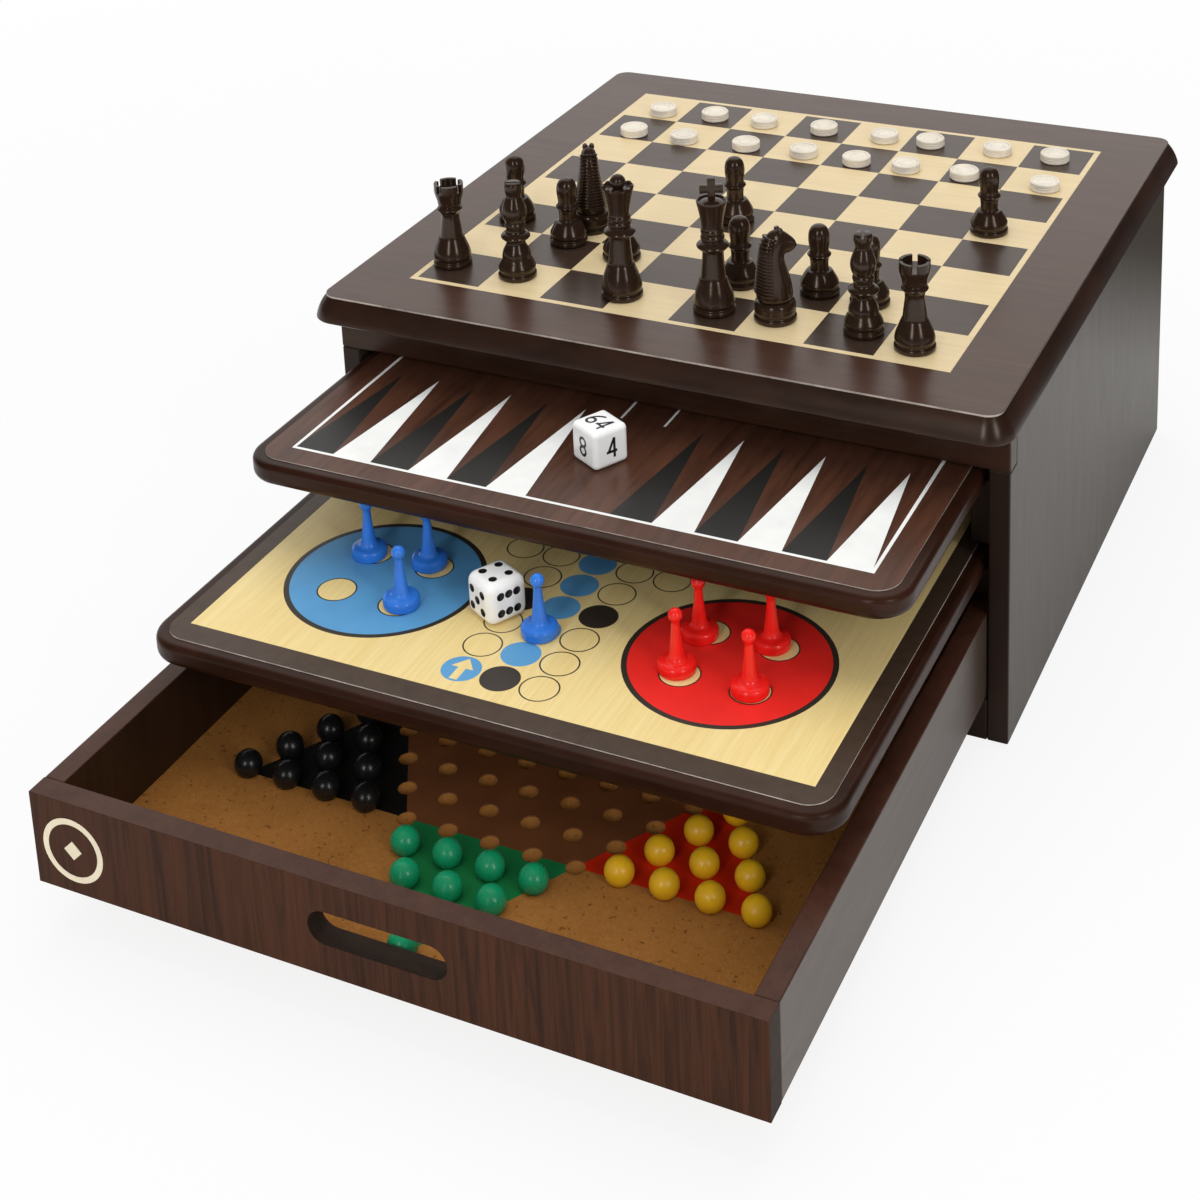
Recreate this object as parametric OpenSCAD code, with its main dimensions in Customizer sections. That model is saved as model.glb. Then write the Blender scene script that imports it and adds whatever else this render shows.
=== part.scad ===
// Games compendium box. A cabinet with an inlaid chess top, two boards that slide
// out on wooden runners, and a drawer with a drilled star board in its floor.
// Millimetres, +Z up, front towards -Y. The origin is the centre of the cabinet's
// footprint on the table.

/* [Cabinet] */
// width of the cabinet over its side panels
cabinet_w = 277; // [277:1:281]
// depth of the cabinet, front edge to back
cabinet_d = 250; // [250:1:256]
// thickness of the side panels
side_t = 8; // [7:0.5:8]
// thickness of the back panel
back_t = 5; // [4:0.5:5]
// thickness of the base under the drawer
base_t = 17; // [12:0.5:17]
// height of the rail under the top panel
rail_h = 18.5; // [12:0.5:18.5]

/* [Top panel] */
// side of the square top panel
top_side = 285; // [282:1:290]
// thickness of the top panel
top_t = 10; // [9:0.5:14]
// side of one chess square
square_w = 27.5; // [24:0.5:28]
// width of the light line round the chess field
field_line = 2.4; // [1:0.1:4]

/* [Boards] */
// width of both sliding boards
board_w = 256; // [254:1:256]
// depth of both sliding boards, front to back
board_d = 244; // [240:1:244]
// thickness of both sliding boards
board_t = 9; // [8:0.5:9]
// how far the backgammon board is pulled out
backgammon_out = 88; // [70:0.5:90]
// how far the ludo board is pulled out
ludo_out = 151.5; // [148:0.5:165]

/* [Drawer] */
// how far the drawer is pulled out
drawer_out = 210.5; // [205:0.5:218]
// width of the drawer
drawer_w = 260; // [258:0.5:260]
// length of the drawer
drawer_len = 244.5; // [243:0.5:244.5]
// height of the drawer
drawer_h = 34.5; // [32:0.5:34.5]
// thickness of the drawer's front and sides
drawer_wall = 8; // [6:0.5:8]
// width of the hand slot in the drawer front
slot_w = 49.5; // [40:0.5:70]
// height of the hand slot
slot_h = 12; // [10:0.5:16]

/* [Star board] */
// distance between neighbouring seats
hole_pitch = 16; // [15:0.1:16.1]
// diameter of the round seats at the floor's surface
hole_d = 7; // [6:0.5:8]
// diameter of the balls
ball_d = 10; // [9:0.5:11]

/* [Chess men] */
// height of a pawn
pawn_h = 28.5; // [24:0.5:32]

/* [Hidden] */
$fn = 64;

// levels of the storeys, from the table up
running_gap = 0.5;
drawer_z = base_t + running_gap;
drawer_top = drawer_z + drawer_h;
lower_z = drawer_top + running_gap;
ludo_top = 73.1;
ludo_z = ludo_top - board_t;
backgammon_top = 108.9;
backgammon_z = backgammon_top - board_t;
side_h = 129.5;
top_z = side_h + top_t;
rail_z = side_h - rail_h;
rail_t = 8;
front_y = -cabinet_d / 2;
back_y = cabinet_d / 2;
inner_half = cabinet_w / 2 - side_t;

// moulded edges: [corner radius, inset and height of the step, height of the foot] for the
// top panel, and [corner radius, inset and height of the step, upper and lower rounding]
top_edge = [10.5, 4.5, 0.8, 0.5];
board_edge = [13.6, 4.8, 0.4, 2.3, 3.2];
arc_steps = 6;
foot_lean = 12;

// runners
runner_w = 10;
runner_front = front_y + 12;
runner_back = back_y - back_t;

// inlaid sheets
sheet_t = 0.3;
base_sheet_t = 0.6;
square_gap = 0.1;
fields = 8;

// backgammon print, from the board's front edge
backgammon_front = front_y - backgammon_out;
print_half = 112.3;
print_line = 1.3;
print_margin = 14.2;
print_d = 204;
point_w = 16;
point_len = 64;
bar_half = 16.5;
bar_line_x = 9;
bar_line_w = 1;

// ludo print
ludo_front = front_y - ludo_out;
ludo_field_half = 116.5;
ludo_field_margin = 13.9;
ludo_field_d = 202;
track_step = 14.8;
track_r = 7;
track_line = 0.55;
ludo_centre_y = ludo_front + ludo_field_margin + ludo_field_d / 2;
home_x = 67.2;
home_y = 51.3;
home_r = 36.6;
home_ring = 2;
spot_offset = 12.7;
spot_r = 7.3;

// drawer
drawer_front_y = front_y - drawer_out;
drawer_back_y = drawer_front_y + drawer_len;
drawer_back_t = 5;
floor_t = 4;
floor_top = drawer_z + floor_t;
slot_x = 1.2;
slot_z = 17.6;
motif_x = -114.2;
motif_z = 16.3;
motif_r = 12;
motif_line = 2.2;
motif_lozenge = 5;

// star board
star_x = 1.8;
star_y = drawer_front_y + 124.2;
seat_gap = 0.1;
row_step = hole_pitch * sqrt(3) / 2;
hex_rows = 4;
sheet_apothem = hex_rows * row_step;
ball_r = ball_d / 2;
ball_z = floor_top + sqrt(ball_r * ball_r - hole_d * hole_d / 4);

// the small pieces
die_w = 16;
die_ball_r = 11.3;
die_round_r = 9.9;
pip_r = 1.5;
pip_gap = 3.3;
cube_w = 15;
cube_round = 2;
ludo_pawn_h = 23.4;
ludo_pawn_r = 6.6;
draught_r = 6.35;
draught_h = 4;
draught_rim = 1.3;
draught_dish = 0.6;
lift_gap = 0.02;

// where the men stand on the top panel, as [x, y] or [x, y, turn]
king_at = [13.4, -95.7];
king_turn = 27;
queen_at = [-25.6, -96.3];
bishops_at = [[-72.6, -94.9, 25], [72.9, -93.1, 108]];
rooks_at = [[-103, -93.6, 77], [94.7, -98.7, 17]];
knights_at = [[37.9, -94.3, 50], [-65.4, -42.5, 117]];
pawns_at = [
    [-99.9, -44.1], [-68, -58.6], [-40.8, -64.8], [-11.9, -14],
    [13.6, -70], [45.5, -66.7], [66.9, -69.1], [90.4, 11.2]
];
draughts_at = [
    [-92.6, 89.9], [-67, 92.6], [-41.8, 92.4], [-12.4, 93.3],
    [17.1, 93.1], [38.6, 94.2], [69.7, 94.9], [95.8, 95.4],
    [-94.6, 61.3], [-69, 61], [-38.8, 62.5], [-11.1, 63.4],
    [14.5, 62.4], [37.5, 62.6], [64.1, 63], [100, 62.8]
];
blue_pawns_at = [[-80.8, -201.9], [-56.8, -199.5], [-53, -225.4], [0.6, -222.8]];
red_pawns_at = [[52.8, -224], [52.1, -203.4], [77.1, -199.7], [79.9, -226.1]];
die_at = [-19.2, -216.6];
die_turn = -29;
cube_at = [-3, -164.5];
cube_turn = -29;

dark_brown = [0.16, 0.08, 0.06];
walnut = [0.24, 0.12, 0.09];
maple = [0.93, 0.80, 0.54];
field_yellow = [0.94, 0.83, 0.50];
mdf_tan = [0.62, 0.41, 0.23];
ink_black = [0.06, 0.05, 0.05];
blue_ink = [0.20, 0.50, 0.78];
red_ink = [0.84, 0.12, 0.12];
green_ink = [0.08, 0.50, 0.28];
yellow_ink = [0.95, 0.70, 0.08];
white_ink = [0.96, 0.95, 0.93];
men_dark = [0.10, 0.06, 0.05];
cream = [0.88, 0.80, 0.68];

// ---------- shared shapes ----------

// curve of the top panel's edge, from its crisp lower edge up to the step
function shallow_arc(corner, inset, foot, rise) =
    let (half = atan(inset / rise) - foot_lean)
    let (r = norm([inset, rise]) / (2 * sin(half)))
    let (middle = [corner - r * cos(foot_lean), foot - r * sin(foot_lean)])
    [for (i = [0 : arc_steps])
        let (a = foot_lean + 2 * half * i / arc_steps)
        middle + r * [cos(a), sin(a)]];

module crisp_section(edge, t) {
    corner = edge[0];
    inset = edge[1];
    foot = edge[3];
    polygon(concat(
        [[0, 0], [corner - foot, 0]],
        shallow_arc(corner, inset, foot, t - edge[2] - foot),
        [[corner - inset, t], [0, t]]
    ));
}

module rounded_section(edge, t) {
    corner = edge[0];
    shoulder = t - edge[2];
    upper_r = edge[3];
    lower_r = edge[4];
    square([corner - edge[1], t]);
    square([corner - upper_r, shoulder]);
    square([corner - lower_r, shoulder - upper_r]);
    translate([0, lower_r]) square([corner, shoulder - upper_r - lower_r]);
    translate([corner - upper_r, shoulder - upper_r]) circle(r = upper_r);
    translate([corner - lower_r, lower_r]) circle(r = lower_r);
}

// edge section from the axis of the rounded corner outwards
module edge_section(edge, t) {
    if (len(edge) == 4) crisp_section(edge, t);
    else rounded_section(edge, t);
}

// plate with a moulded edge on its front and sides; its back edge too if all_round
module moulded_plate(w, d, t, edge, all_round) {
    corner = edge[0];
    half = w / 2 - corner;
    back = all_round ? d - corner : d;
    lap = (corner - edge[1]) / 2;
    core_back = all_round ? back + lap : back;
    module section() edge_section(edge, t);
    translate([-half - lap, corner - lap, 0])
        cube([2 * (half + lap), core_back - corner + lap, t]);
    // front edge
    translate([-half, corner, 0])
        rotate([90, 0, 90]) linear_extrude(2 * half) mirror([1, 0]) section();
    // side edges
    for (s = [-1, 1])
        translate([s * half, s > 0 ? corner : back, 0])
            rotate([90, 0, s > 0 ? 0 : 180])
                mirror([0, 0, 1]) linear_extrude(back - corner) section();
    // front corners
    for (s = [-1, 1])
        translate([s * half, corner, 0])
            rotate([0, 0, s > 0 ? -90 : 180])
                rotate_extrude(angle = 90) section();
    if (all_round) {
        translate([half, back, 0])
            rotate([90, 0, -90]) linear_extrude(2 * half) mirror([1, 0]) section();
        for (s = [-1, 1])
            translate([s * half, back, 0])
                rotate([0, 0, s > 0 ? 0 : 90])
                    rotate_extrude(angle = 90) section();
    }
}

// block with all its edges and corners rounded, centred
module rounded_block(w, r) {
    flat = w - 2 * r;
    for (turn = [[0, 0, 0], [90, 0, 0], [0, 90, 0]])
        rotate(turn) {
            cube([flat, flat, w], center = true);
            for (x = [-1, 1], y = [-1, 1])
                translate([x * flat / 2, y * flat / 2, 0])
                    cylinder(r = r, h = flat, center = true);
        }
    for (x = [-1, 1], y = [-1, 1], z = [-1, 1])
        translate([x, y, z] * flat / 2) sphere(r = r);
}

module box_at(x0, y0, z0, x1, y1, z1) {
    translate([x0, y0, z0]) cube([x1 - x0, y1 - y0, z1 - z0]);
}

// ---------- cabinet ----------

module field_recess(extra) {
    half = fields * square_w / 2 + field_line;
    translate([-half, -half, top_z - base_sheet_t])
        cube([2 * half, 2 * half, base_sheet_t + extra]);
}

module dark_squares(h, extra) {
    w = square_w - square_gap;
    for (i = [0 : fields - 1], j = [0 : fields - 1])
        if ((i + j) % 2 == 0)
            translate([
                (i - fields / 2) * square_w + square_gap / 2,
                (j - fields / 2) * square_w + square_gap / 2,
                top_z - h
            ]) cube([w, w, h + extra]);
}

module top_panel() {
    color(dark_brown)
    difference() {
        translate([0, -top_side / 2, side_h])
            moulded_plate(top_side, top_side, top_t, top_edge, true);
        field_recess(1);
    }
}

module chess_field_light() {
    color(maple)
    difference() {
        field_recess(0);
        dark_squares(sheet_t, 1);
    }
}

module chess_field_dark() {
    color(dark_brown) dark_squares(sheet_t, 0);
}

module front_rail() {
    color(dark_brown)
    box_at(-cabinet_w / 2, front_y, rail_z, cabinet_w / 2, front_y + rail_t, side_h);
}

module side_panel(s) {
    color(dark_brown)
    difference() {
        translate([s > 0 ? inner_half : -cabinet_w / 2, front_y, 0])
            cube([side_t, cabinet_d, side_h]);
        box_at(-cabinet_w, front_y - 1, rail_z, cabinet_w, front_y + rail_t, side_h + 1);
    }
}

module side_panel_left() {
    side_panel(-1);
}

module side_panel_right() {
    side_panel(1);
}

module back_panel() {
    color(dark_brown)
    box_at(-inner_half, back_y - back_t, 0, inner_half, back_y, side_h);
}

module base_panel() {
    color(dark_brown)
    box_at(-inner_half, front_y, 0, inner_half, back_y - back_t, base_t);
}

// a pair of runners on the inner faces of the side panels
module runner_pair(z0, z1) {
    color(walnut)
    for (s = [-1, 1])
        translate([s > 0 ? inner_half - runner_w : -inner_half, runner_front, z0])
            cube([runner_w, runner_back - runner_front, z1 - z0]);
}

module upper_runners() {
    runner_pair(backgammon_top + running_gap, side_h);
}

module spacer_runners() {
    runner_pair(ludo_top + running_gap, backgammon_z - running_gap);
}

module lower_runners() {
    runner_pair(lower_z, ludo_z - running_gap);
}

// ---------- backgammon board ----------

module sliding_board(out, z) {
    translate([0, front_y - out, z])
        moulded_plate(board_w, board_d, board_t, board_edge, false);
}

// one point of the print, its base on the X axis, pointing along +Y
module point_shape() {
    polygon([[0, 0], [point_w, 0], [point_w / 2, point_len]]);
}

// every second point of both rows; first is 0 or 1
module point_row(first) {
    for (side = [0, 1], i = [0 : 5])
        if (i % 2 == first)
            translate([(side == 0 ? -bar_half - 6 * point_w : bar_half) + i * point_w, 0])
                point_shape();
}

module points_2d(first) {
    front = backgammon_front + print_margin + print_line;
    back = backgammon_front + print_margin + print_d - print_line;
    translate([0, front]) point_row(first);
    translate([0, back]) mirror([0, 1]) point_row(1 - first);
}

module backgammon_white_2d() {
    front = backgammon_front + print_margin;
    points_2d(1);
    difference() {
        translate([-print_half - print_line, front])
            square([2 * (print_half + print_line), print_d]);
        translate([-print_half, front + print_line])
            square([2 * print_half, print_d - 2 * print_line]);
    }
    for (s = [-1, 1])
        translate([s * bar_line_x - bar_line_w / 2, front + point_len])
            square([bar_line_w, print_d - 2 * point_len]);
}

module backgammon_sheet(first, extra) {
    translate([0, 0, backgammon_top - sheet_t])
        linear_extrude(sheet_t + extra)
            if (first == 0) points_2d(0);
            else backgammon_white_2d();
}

module backgammon_board() {
    color(walnut)
    difference() {
        sliding_board(backgammon_out, backgammon_z);
        backgammon_sheet(0, 1);
        backgammon_sheet(1, 1);
    }
}

module backgammon_white_print() {
    color(white_ink) backgammon_sheet(1, 0);
}

module backgammon_black_print() {
    color(ink_black) backgammon_sheet(0, 0);
}

// ---------- ludo board ----------

module ludo_field_block(extra) {
    translate([-ludo_field_half, ludo_front + ludo_field_margin, ludo_top - base_sheet_t])
        cube([2 * ludo_field_half, ludo_field_d, base_sheet_t + extra]);
}

module on_ludo(extra) {
    translate([0, ludo_centre_y, ludo_top - sheet_t])
        linear_extrude(sheet_t + extra) children();
}

module track_disc(c) {
    translate([c[0] * track_step, c[1] * track_step]) circle(r = track_r);
}

module track_ring(c) {
    translate([c[0] * track_step, c[1] * track_step])
        difference() {
            circle(r = track_r);
            circle(r = track_r - track_line);
        }
}

module arrow_disc(c) {
    translate([c[0] * track_step, c[1] * track_step])
        difference() {
            circle(r = track_r);
            polygon([
                [-1.5, -6], [1.5, -6], [1.5, 0.6], [4.2, 0.6],
                [0, 6], [-4.2, 0.6], [-1.5, 0.6]
            ]);
        }
}

// the front arm of the track: cells as [column, row], row 0 at the board's front
module arm_rings() {
    for (row = [0 : 4], column = [-1, 1])
        if (!(row == 0 && column == -1) && row != 3)
            track_ring([column, row - 6]);
}

module arm_blacks() {
    track_disc([0, -6]);
    for (column = [-1, 1]) track_disc([column, -3]);
}

module arm_colours() {
    arrow_disc([-1, -6]);
    home_run();
}

// the five coloured cells that lead to the centre
module home_run() {
    for (row = [1 : 5]) track_disc([0, row - 6]);
}

// outline of a home disc and of the four spots in it
module home_outlines() {
    difference() {
        circle(r = home_r);
        circle(r = home_r - home_ring);
    }
    for (x = [-1, 1], y = [-1, 1])
        translate([x, y] * spot_offset)
            difference() {
                circle(r = spot_r);
                circle(r = spot_r - track_line);
            }
}

module home_colour() {
    difference() {
        circle(r = home_r - home_ring);
        for (x = [-1, 1], y = [-1, 1])
            translate([x, y] * spot_offset) circle(r = spot_r);
    }
}

// colour number k: 0 front (blue), 1 right (red), 2 back (green), 3 left (yellow);
// the side arms are narrow, since the homes leave no room beside them
module ludo_colour_2d(k) {
    home = [[-1, -1], [1, -1], [1, 1], [-1, 1]][k];
    rotate(90 * k)
        if (k % 2 == 0) arm_colours();
        else home_run();
    translate([home[0] * home_x, home[1] * home_y]) home_colour();
}

module ludo_black_2d() {
    for (turn = [0, 180])
        rotate(turn) {
            arm_rings();
            arm_blacks();
            track_disc([6, 0]);
        }
    for (x = [-1, 1], y = [-1, 1]) {
        for (column = [1, 2]) track_ring([x * column, y]);
        translate([x * home_x, y * home_y]) home_outlines();
    }
    track_disc([0, 0]);
}

module ludo_board() {
    color(walnut)
    difference() {
        sliding_board(ludo_out, ludo_z);
        ludo_field_block(1);
    }
}

module ludo_field() {
    color(field_yellow)
    difference() {
        ludo_field_block(0);
        on_ludo(1) ludo_black_2d();
        for (k = [0 : 3]) on_ludo(1) ludo_colour_2d(k);
    }
}

module ludo_black_marks() {
    color(ink_black) on_ludo(0) ludo_black_2d();
}

module ludo_blue_marks() {
    color(blue_ink) on_ludo(0) ludo_colour_2d(0);
}

module ludo_red_marks() {
    color(red_ink) on_ludo(0) ludo_colour_2d(1);
}

module ludo_green_marks() {
    color(green_ink) on_ludo(0) ludo_colour_2d(2);
}

module ludo_yellow_marks() {
    color(yellow_ink) on_ludo(0) ludo_colour_2d(3);
}

// half section of a ludo pawn: disc foot, slim stem, ball
module ludo_pawn() {
    foot_h = 4.4;
    round_r = 1.2;
    ball = 2.45;
    stem_low = 2.6;
    stem_top = 1.35;
    rotate_extrude()
        intersection() {
            union() {
                square([ludo_pawn_r - round_r, foot_h]);
                square([ludo_pawn_r, foot_h - round_r]);
                translate([ludo_pawn_r - round_r, foot_h - round_r]) circle(r = round_r);
                polygon([
                    [0, foot_h - 1], [stem_low + 1.2, foot_h - 1],
                    [stem_low + 1.2, foot_h],
                    [stem_low + 0.3, foot_h + 0.9], [stem_low, foot_h + 2],
                    [stem_top, ludo_pawn_h - 2 * ball + 0.6], [0, ludo_pawn_h - ball]
                ]);
                translate([0, ludo_pawn_h - ball]) circle(r = ball);
            }
            square([ludo_pawn_r, ludo_pawn_h]);
        }
}

module ludo_pawns_blue() {
    color(blue_ink)
    for (p = blue_pawns_at) translate([p[0], p[1], ludo_top]) ludo_pawn();
}

module ludo_pawns_red() {
    color(red_ink)
    for (p = red_pawns_at) translate([p[0], p[1], ludo_top]) ludo_pawn();
}

// pip places on one face, for the numbers 1 to 6
function pips(n) =
    n == 1 ? [[0, 0]] :
    n == 2 ? [[-1, -1], [1, 1]] :
    n == 3 ? [[-1, -1], [0, 0], [1, 1]] :
    n == 4 ? [[-1, -1], [1, -1], [-1, 1], [1, 1]] :
    n == 5 ? [[-1, -1], [1, -1], [-1, 1], [1, 1], [0, 0]] :
    [[-1, -1], [0, -1], [1, -1], [-1, 1], [0, 1], [1, 1]];

// die faces as [number, turn about X, turn about Z]; the face starts on top
die_faces = [[4, 0, 0], [3, 180, 0], [5, 90, 0], [2, 90, 180], [6, 90, 90], [1, 90, -90]];

module die_marks(extra) {
    for (f = die_faces)
        rotate([0, 0, f[2]]) rotate([f[1], 0, 0])
            for (p = pips(f[0]))
                translate([p[0] * pip_gap, p[1] * pip_gap, die_w / 2 - sheet_t])
                    cylinder(r = pip_r, h = sheet_t + extra);
}

module at_die() {
    translate([die_at[0], die_at[1], ludo_top + die_w / 2])
        rotate([0, 0, die_turn]) children();
}

// three crossed cylinders round the edges, and a sphere the corners
module die_block() {
    intersection() {
        cube(die_w, center = true);
        sphere(r = die_ball_r);
        cylinder(r = die_round_r, h = 2 * die_w, center = true);
        rotate([90, 0, 0]) cylinder(r = die_round_r, h = 2 * die_w, center = true);
        rotate([0, 90, 0]) cylinder(r = die_round_r, h = 2 * die_w, center = true);
    }
}

module die() {
    color(white_ink)
    at_die() difference() {
        die_block();
        die_marks(1);
    }
}

module die_pips() {
    color(ink_black) at_die() die_marks(0);
}

// ---------- drawer ----------

module slot_block(y0, y1) {
    r = slot_h / 2;
    translate([slot_x, y0, drawer_z + slot_z])
        rotate([-90, 0, 0]) linear_extrude(y1 - y0) {
            square([slot_w - slot_h, slot_h], center = true);
            for (s = [-1, 1]) translate([s * (slot_w / 2 - r), 0]) circle(r = r);
        }
}

module motif(extra) {
    translate([motif_x, drawer_front_y + sheet_t, drawer_z + motif_z])
        rotate([90, 0, 0]) linear_extrude(sheet_t + extra) {
            difference() {
                circle(r = motif_r);
                circle(r = motif_r - motif_line);
            }
            rotate(45) square(motif_lozenge, center = true);
        }
}

module drawer_front() {
    color(walnut)
    difference() {
        box_at(-drawer_w / 2, drawer_front_y, drawer_z,
            drawer_w / 2, drawer_front_y + drawer_wall, drawer_top);
        slot_block(drawer_front_y - 1, drawer_front_y + drawer_wall + 1);
        motif(1);
    }
}

module drawer_motif() {
    color(cream) motif(0);
}

module drawer_side(s) {
    x0 = s > 0 ? drawer_w / 2 - drawer_wall : -drawer_w / 2;
    color(walnut)
    box_at(x0, drawer_front_y + drawer_wall, drawer_z,
        x0 + drawer_wall, drawer_back_y, drawer_top);
}

module drawer_side_left() {
    drawer_side(-1);
}

module drawer_side_right() {
    drawer_side(1);
}

module drawer_back() {
    half = drawer_w / 2 - drawer_wall;
    color(walnut)
    box_at(-half, drawer_back_y - drawer_back_t, drawer_z, half, drawer_back_y, drawer_top);
}

// lattice place of a hole; rows run along X
function hole_at(column, row) = [
    star_x + (column + row / 2) * hole_pitch,
    star_y + row * row_step
];

// holes of the central hexagon
hexagon_holes = [
    for (row = [-hex_rows : hex_rows], column = [-hex_rows : hex_rows])
        if (abs(column + row) <= hex_rows) hole_at(column, row)
];

// holes of the front triangle, about the star's centre
triangle_cells = [
    for (row = [1 : hex_rows], i = [0 : hex_rows - row])
        [(i - (hex_rows - row) / 2) * hole_pitch, -(hex_rows + row) * row_step]
];

function turned(p, a) = [
    star_x + p[0] * cos(a) - p[1] * sin(a),
    star_y + p[0] * sin(a) + p[1] * cos(a)
];

// k counts the triangles clockwise from the front one, seen from above
function triangle_holes(k) = [for (p = triangle_cells) turned(p, -60 * k)];

// the hexagon's holes along the side that meets triangle k
function side_holes(k) = [
    for (i = [0 : hex_rows]) turned([(i - hex_rows / 2) * hole_pitch, -sheet_apothem], -60 * k)
];

// round seats, a little wider than the balls
module seats(places) {
    for (p = places) translate([p[0], p[1], ball_z]) sphere(r = ball_r + seat_gap);
}

module triangle_2d() {
    half = sheet_apothem / sqrt(3);
    polygon([[-half, -sheet_apothem], [half, -sheet_apothem], [0, -2 * sheet_apothem]]);
}

module hexagon_2d() {
    circle(r = sheet_apothem / cos(30), $fn = 6);
}

module triangle_block(k, extra) {
    translate([star_x, star_y, floor_top - sheet_t])
        linear_extrude(sheet_t + extra) rotate(-60 * k) triangle_2d();
}

module hexagon_block(extra) {
    translate([star_x, star_y, floor_top - sheet_t])
        linear_extrude(sheet_t + extra) hexagon_2d();
}

module star_triangle(k) {
    difference() {
        triangle_block(k, 0);
        seats(triangle_holes(k));
        seats(side_holes(k));
    }
}

module drawer_floor() {
    half = drawer_w / 2 - drawer_wall;
    color(mdf_tan)
    difference() {
        box_at(-half, drawer_front_y + drawer_wall, drawer_z,
            half, drawer_back_y - drawer_back_t, floor_top);
        hexagon_block(1);
        for (k = [0 : 5]) triangle_block(k, 1);
        seats(hexagon_holes);
        for (k = [0 : 5]) seats(triangle_holes(k));
    }
}

module star_centre_sheet() {
    color(dark_brown)
    difference() {
        hexagon_block(0);
        seats(hexagon_holes);
    }
}

module star_green_sheet() {
    color(green_ink) star_triangle(0);
}

module star_black_sheet() {
    color(ink_black) star_triangle(1);
}

module star_blue_sheet() {
    color(blue_ink) star_triangle(2);
}

module star_yellow_sheet() {
    color(yellow_ink) star_triangle(3);
}

module star_white_sheet() {
    color(white_ink) star_triangle(4);
}

module star_red_sheet() {
    color(red_ink) star_triangle(5);
}

module balls_on(places) {
    for (p = places) translate([p[0], p[1], ball_z]) sphere(r = ball_r);
}

module balls_green() {
    color(green_ink) balls_on(triangle_holes(0));
}

module balls_black() {
    color(ink_black) balls_on(triangle_holes(1));
}

module balls_yellow() {
    color(yellow_ink) balls_on(triangle_holes(5));
}

// ---------- chess men ----------

// points of a half section from the foot up to the top of its bulge
function foot_points(r) = [
    [0, 0], [r - 0.5, 0], [r, 0.6], [r, 1.9], [r - 0.5, 2.5], [r - 0.6, 2.9],
    [r - 0.25, 3.9], [r - 0.3, 5]
];

// points of a rounded collar about height z, from its underside up
function collar_points(inner, r, z, h) = [
    [inner, z - h / 2], [r - 0.25 * h, z - 0.32 * h], [r, z],
    [r - 0.25 * h, z + 0.32 * h], [inner, z + h / 2]
];

module turned_man(points) {
    rotate_extrude() polygon(points);
}

module chess_pawn() {
    k = pawn_h / 28.5;
    scale(k) turned_man(concat(
        foot_points(7.8),
        [[6.9, 6.4], [6, 8], [5.2, 9.3], [4.8, 9.7], [3.8, 9.9], [3.55, 11.2], [3.6, 13.4]],
        collar_points(3.8, 4.7, 16.2, 3.4),
        [[3.7, 18.4], [4, 20.4], [4.2, 22.6], [4.1, 24.6], [3.5, 26.6], [2.3, 28], [0, 28.5]]
    ));
}

module chess_rook() {
    h = 35;
    notch_w = 2.5;
    merlon_h = 3;
    difference() {
        turned_man(concat(
            foot_points(7.8),
            [[7, 7], [5.9, 9.8], [5, 12], [4.7, 12.4], [4.2, 16], [3.7, 20], [3.7, 22]],
            collar_points(4.1, 5.1, 24.3, 2.6),
            [
                [4.6, 26], [4.9, 28], [5.6, 30.4], [5.9, 32.6], [5.9, h - 0.4], [5.6, h],
                [4.9, h], [4.6, h - merlon_h], [0, h - merlon_h]
            ]
        ));
        for (a = [0, 90])
            rotate([0, 0, a])
                translate([-h / 2, -notch_w / 2, h - merlon_h])
                    cube([h, notch_w, merlon_h + 1]);
    }
}

module chess_bishop() {
    h = 40.2;
    difference() {
        turned_man(concat(
            foot_points(7.7),
            [
                [6.7, 6.6], [6.1, 7.6], [5.7, 8.4], [5.7, 9.8], [5.2, 11.6], [4.2, 13.6],
                [3.8, 14.8]
            ],
            collar_points(4, 5.9, 17.5, 3.6),
            [
                [3.7, 20.6], [4.1, 21.8], [4.1, 22.8], [3.8, 23.6], [4.5, 25.2], [4.9, 27.2],
                [4.7, 29.4], [3.7, 32.4], [3, 34.4], [3.2, 35.6], [3.6, 37.6], [3.4, h - 0.3],
                [2.9, h], [0, h]
            ]
        ));
        translate([-5, -0.8, h - 1.2]) cube([10, 1.6, 2]);
    }
}

// foot, stem, collar and rings shared by the king and the queen
function royal_points() = concat(
    foot_points(8.25),
    [[7.2, 8.2], [6.2, 11.2], [5.3, 13.8], [4.9, 14.4], [4.5, 18], [4.2, 22], [4.1, 24.8]],
    collar_points(4.3, 6.3, 27.2, 3.8),
    [[4.2, 29.5], [4.6, 30.1], [4.6, 31], [4.2, 31.7], [4.5, 32.5], [4.5, 33.5], [4.1, 34.3]]
);

module chess_king() {
    rim_z = 45.4;
    cross_t = 2.8;
    top_at = 54.5;
    color(men_dark)
    translate([king_at[0], king_at[1], top_z]) {
        turned_man(concat(
            royal_points(),
            [
                [4.4, 37.4], [5.1, 41.4], [5.9, rim_z - 0.8], [5.9, rim_z], [5.4, rim_z + 0.2],
                [4.9, rim_z - 0.6], [0, rim_z + 0.6]
            ]
        ));
        rotate([0, 0, king_turn]) {
            translate([-cross_t / 2, -cross_t / 2, rim_z - 1])
                cube([cross_t, cross_t, top_at - rim_z + 1]);
            translate([-4.7, -cross_t / 2, 49]) cube([9.4, cross_t, cross_t]);
        }
    }
}

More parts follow.
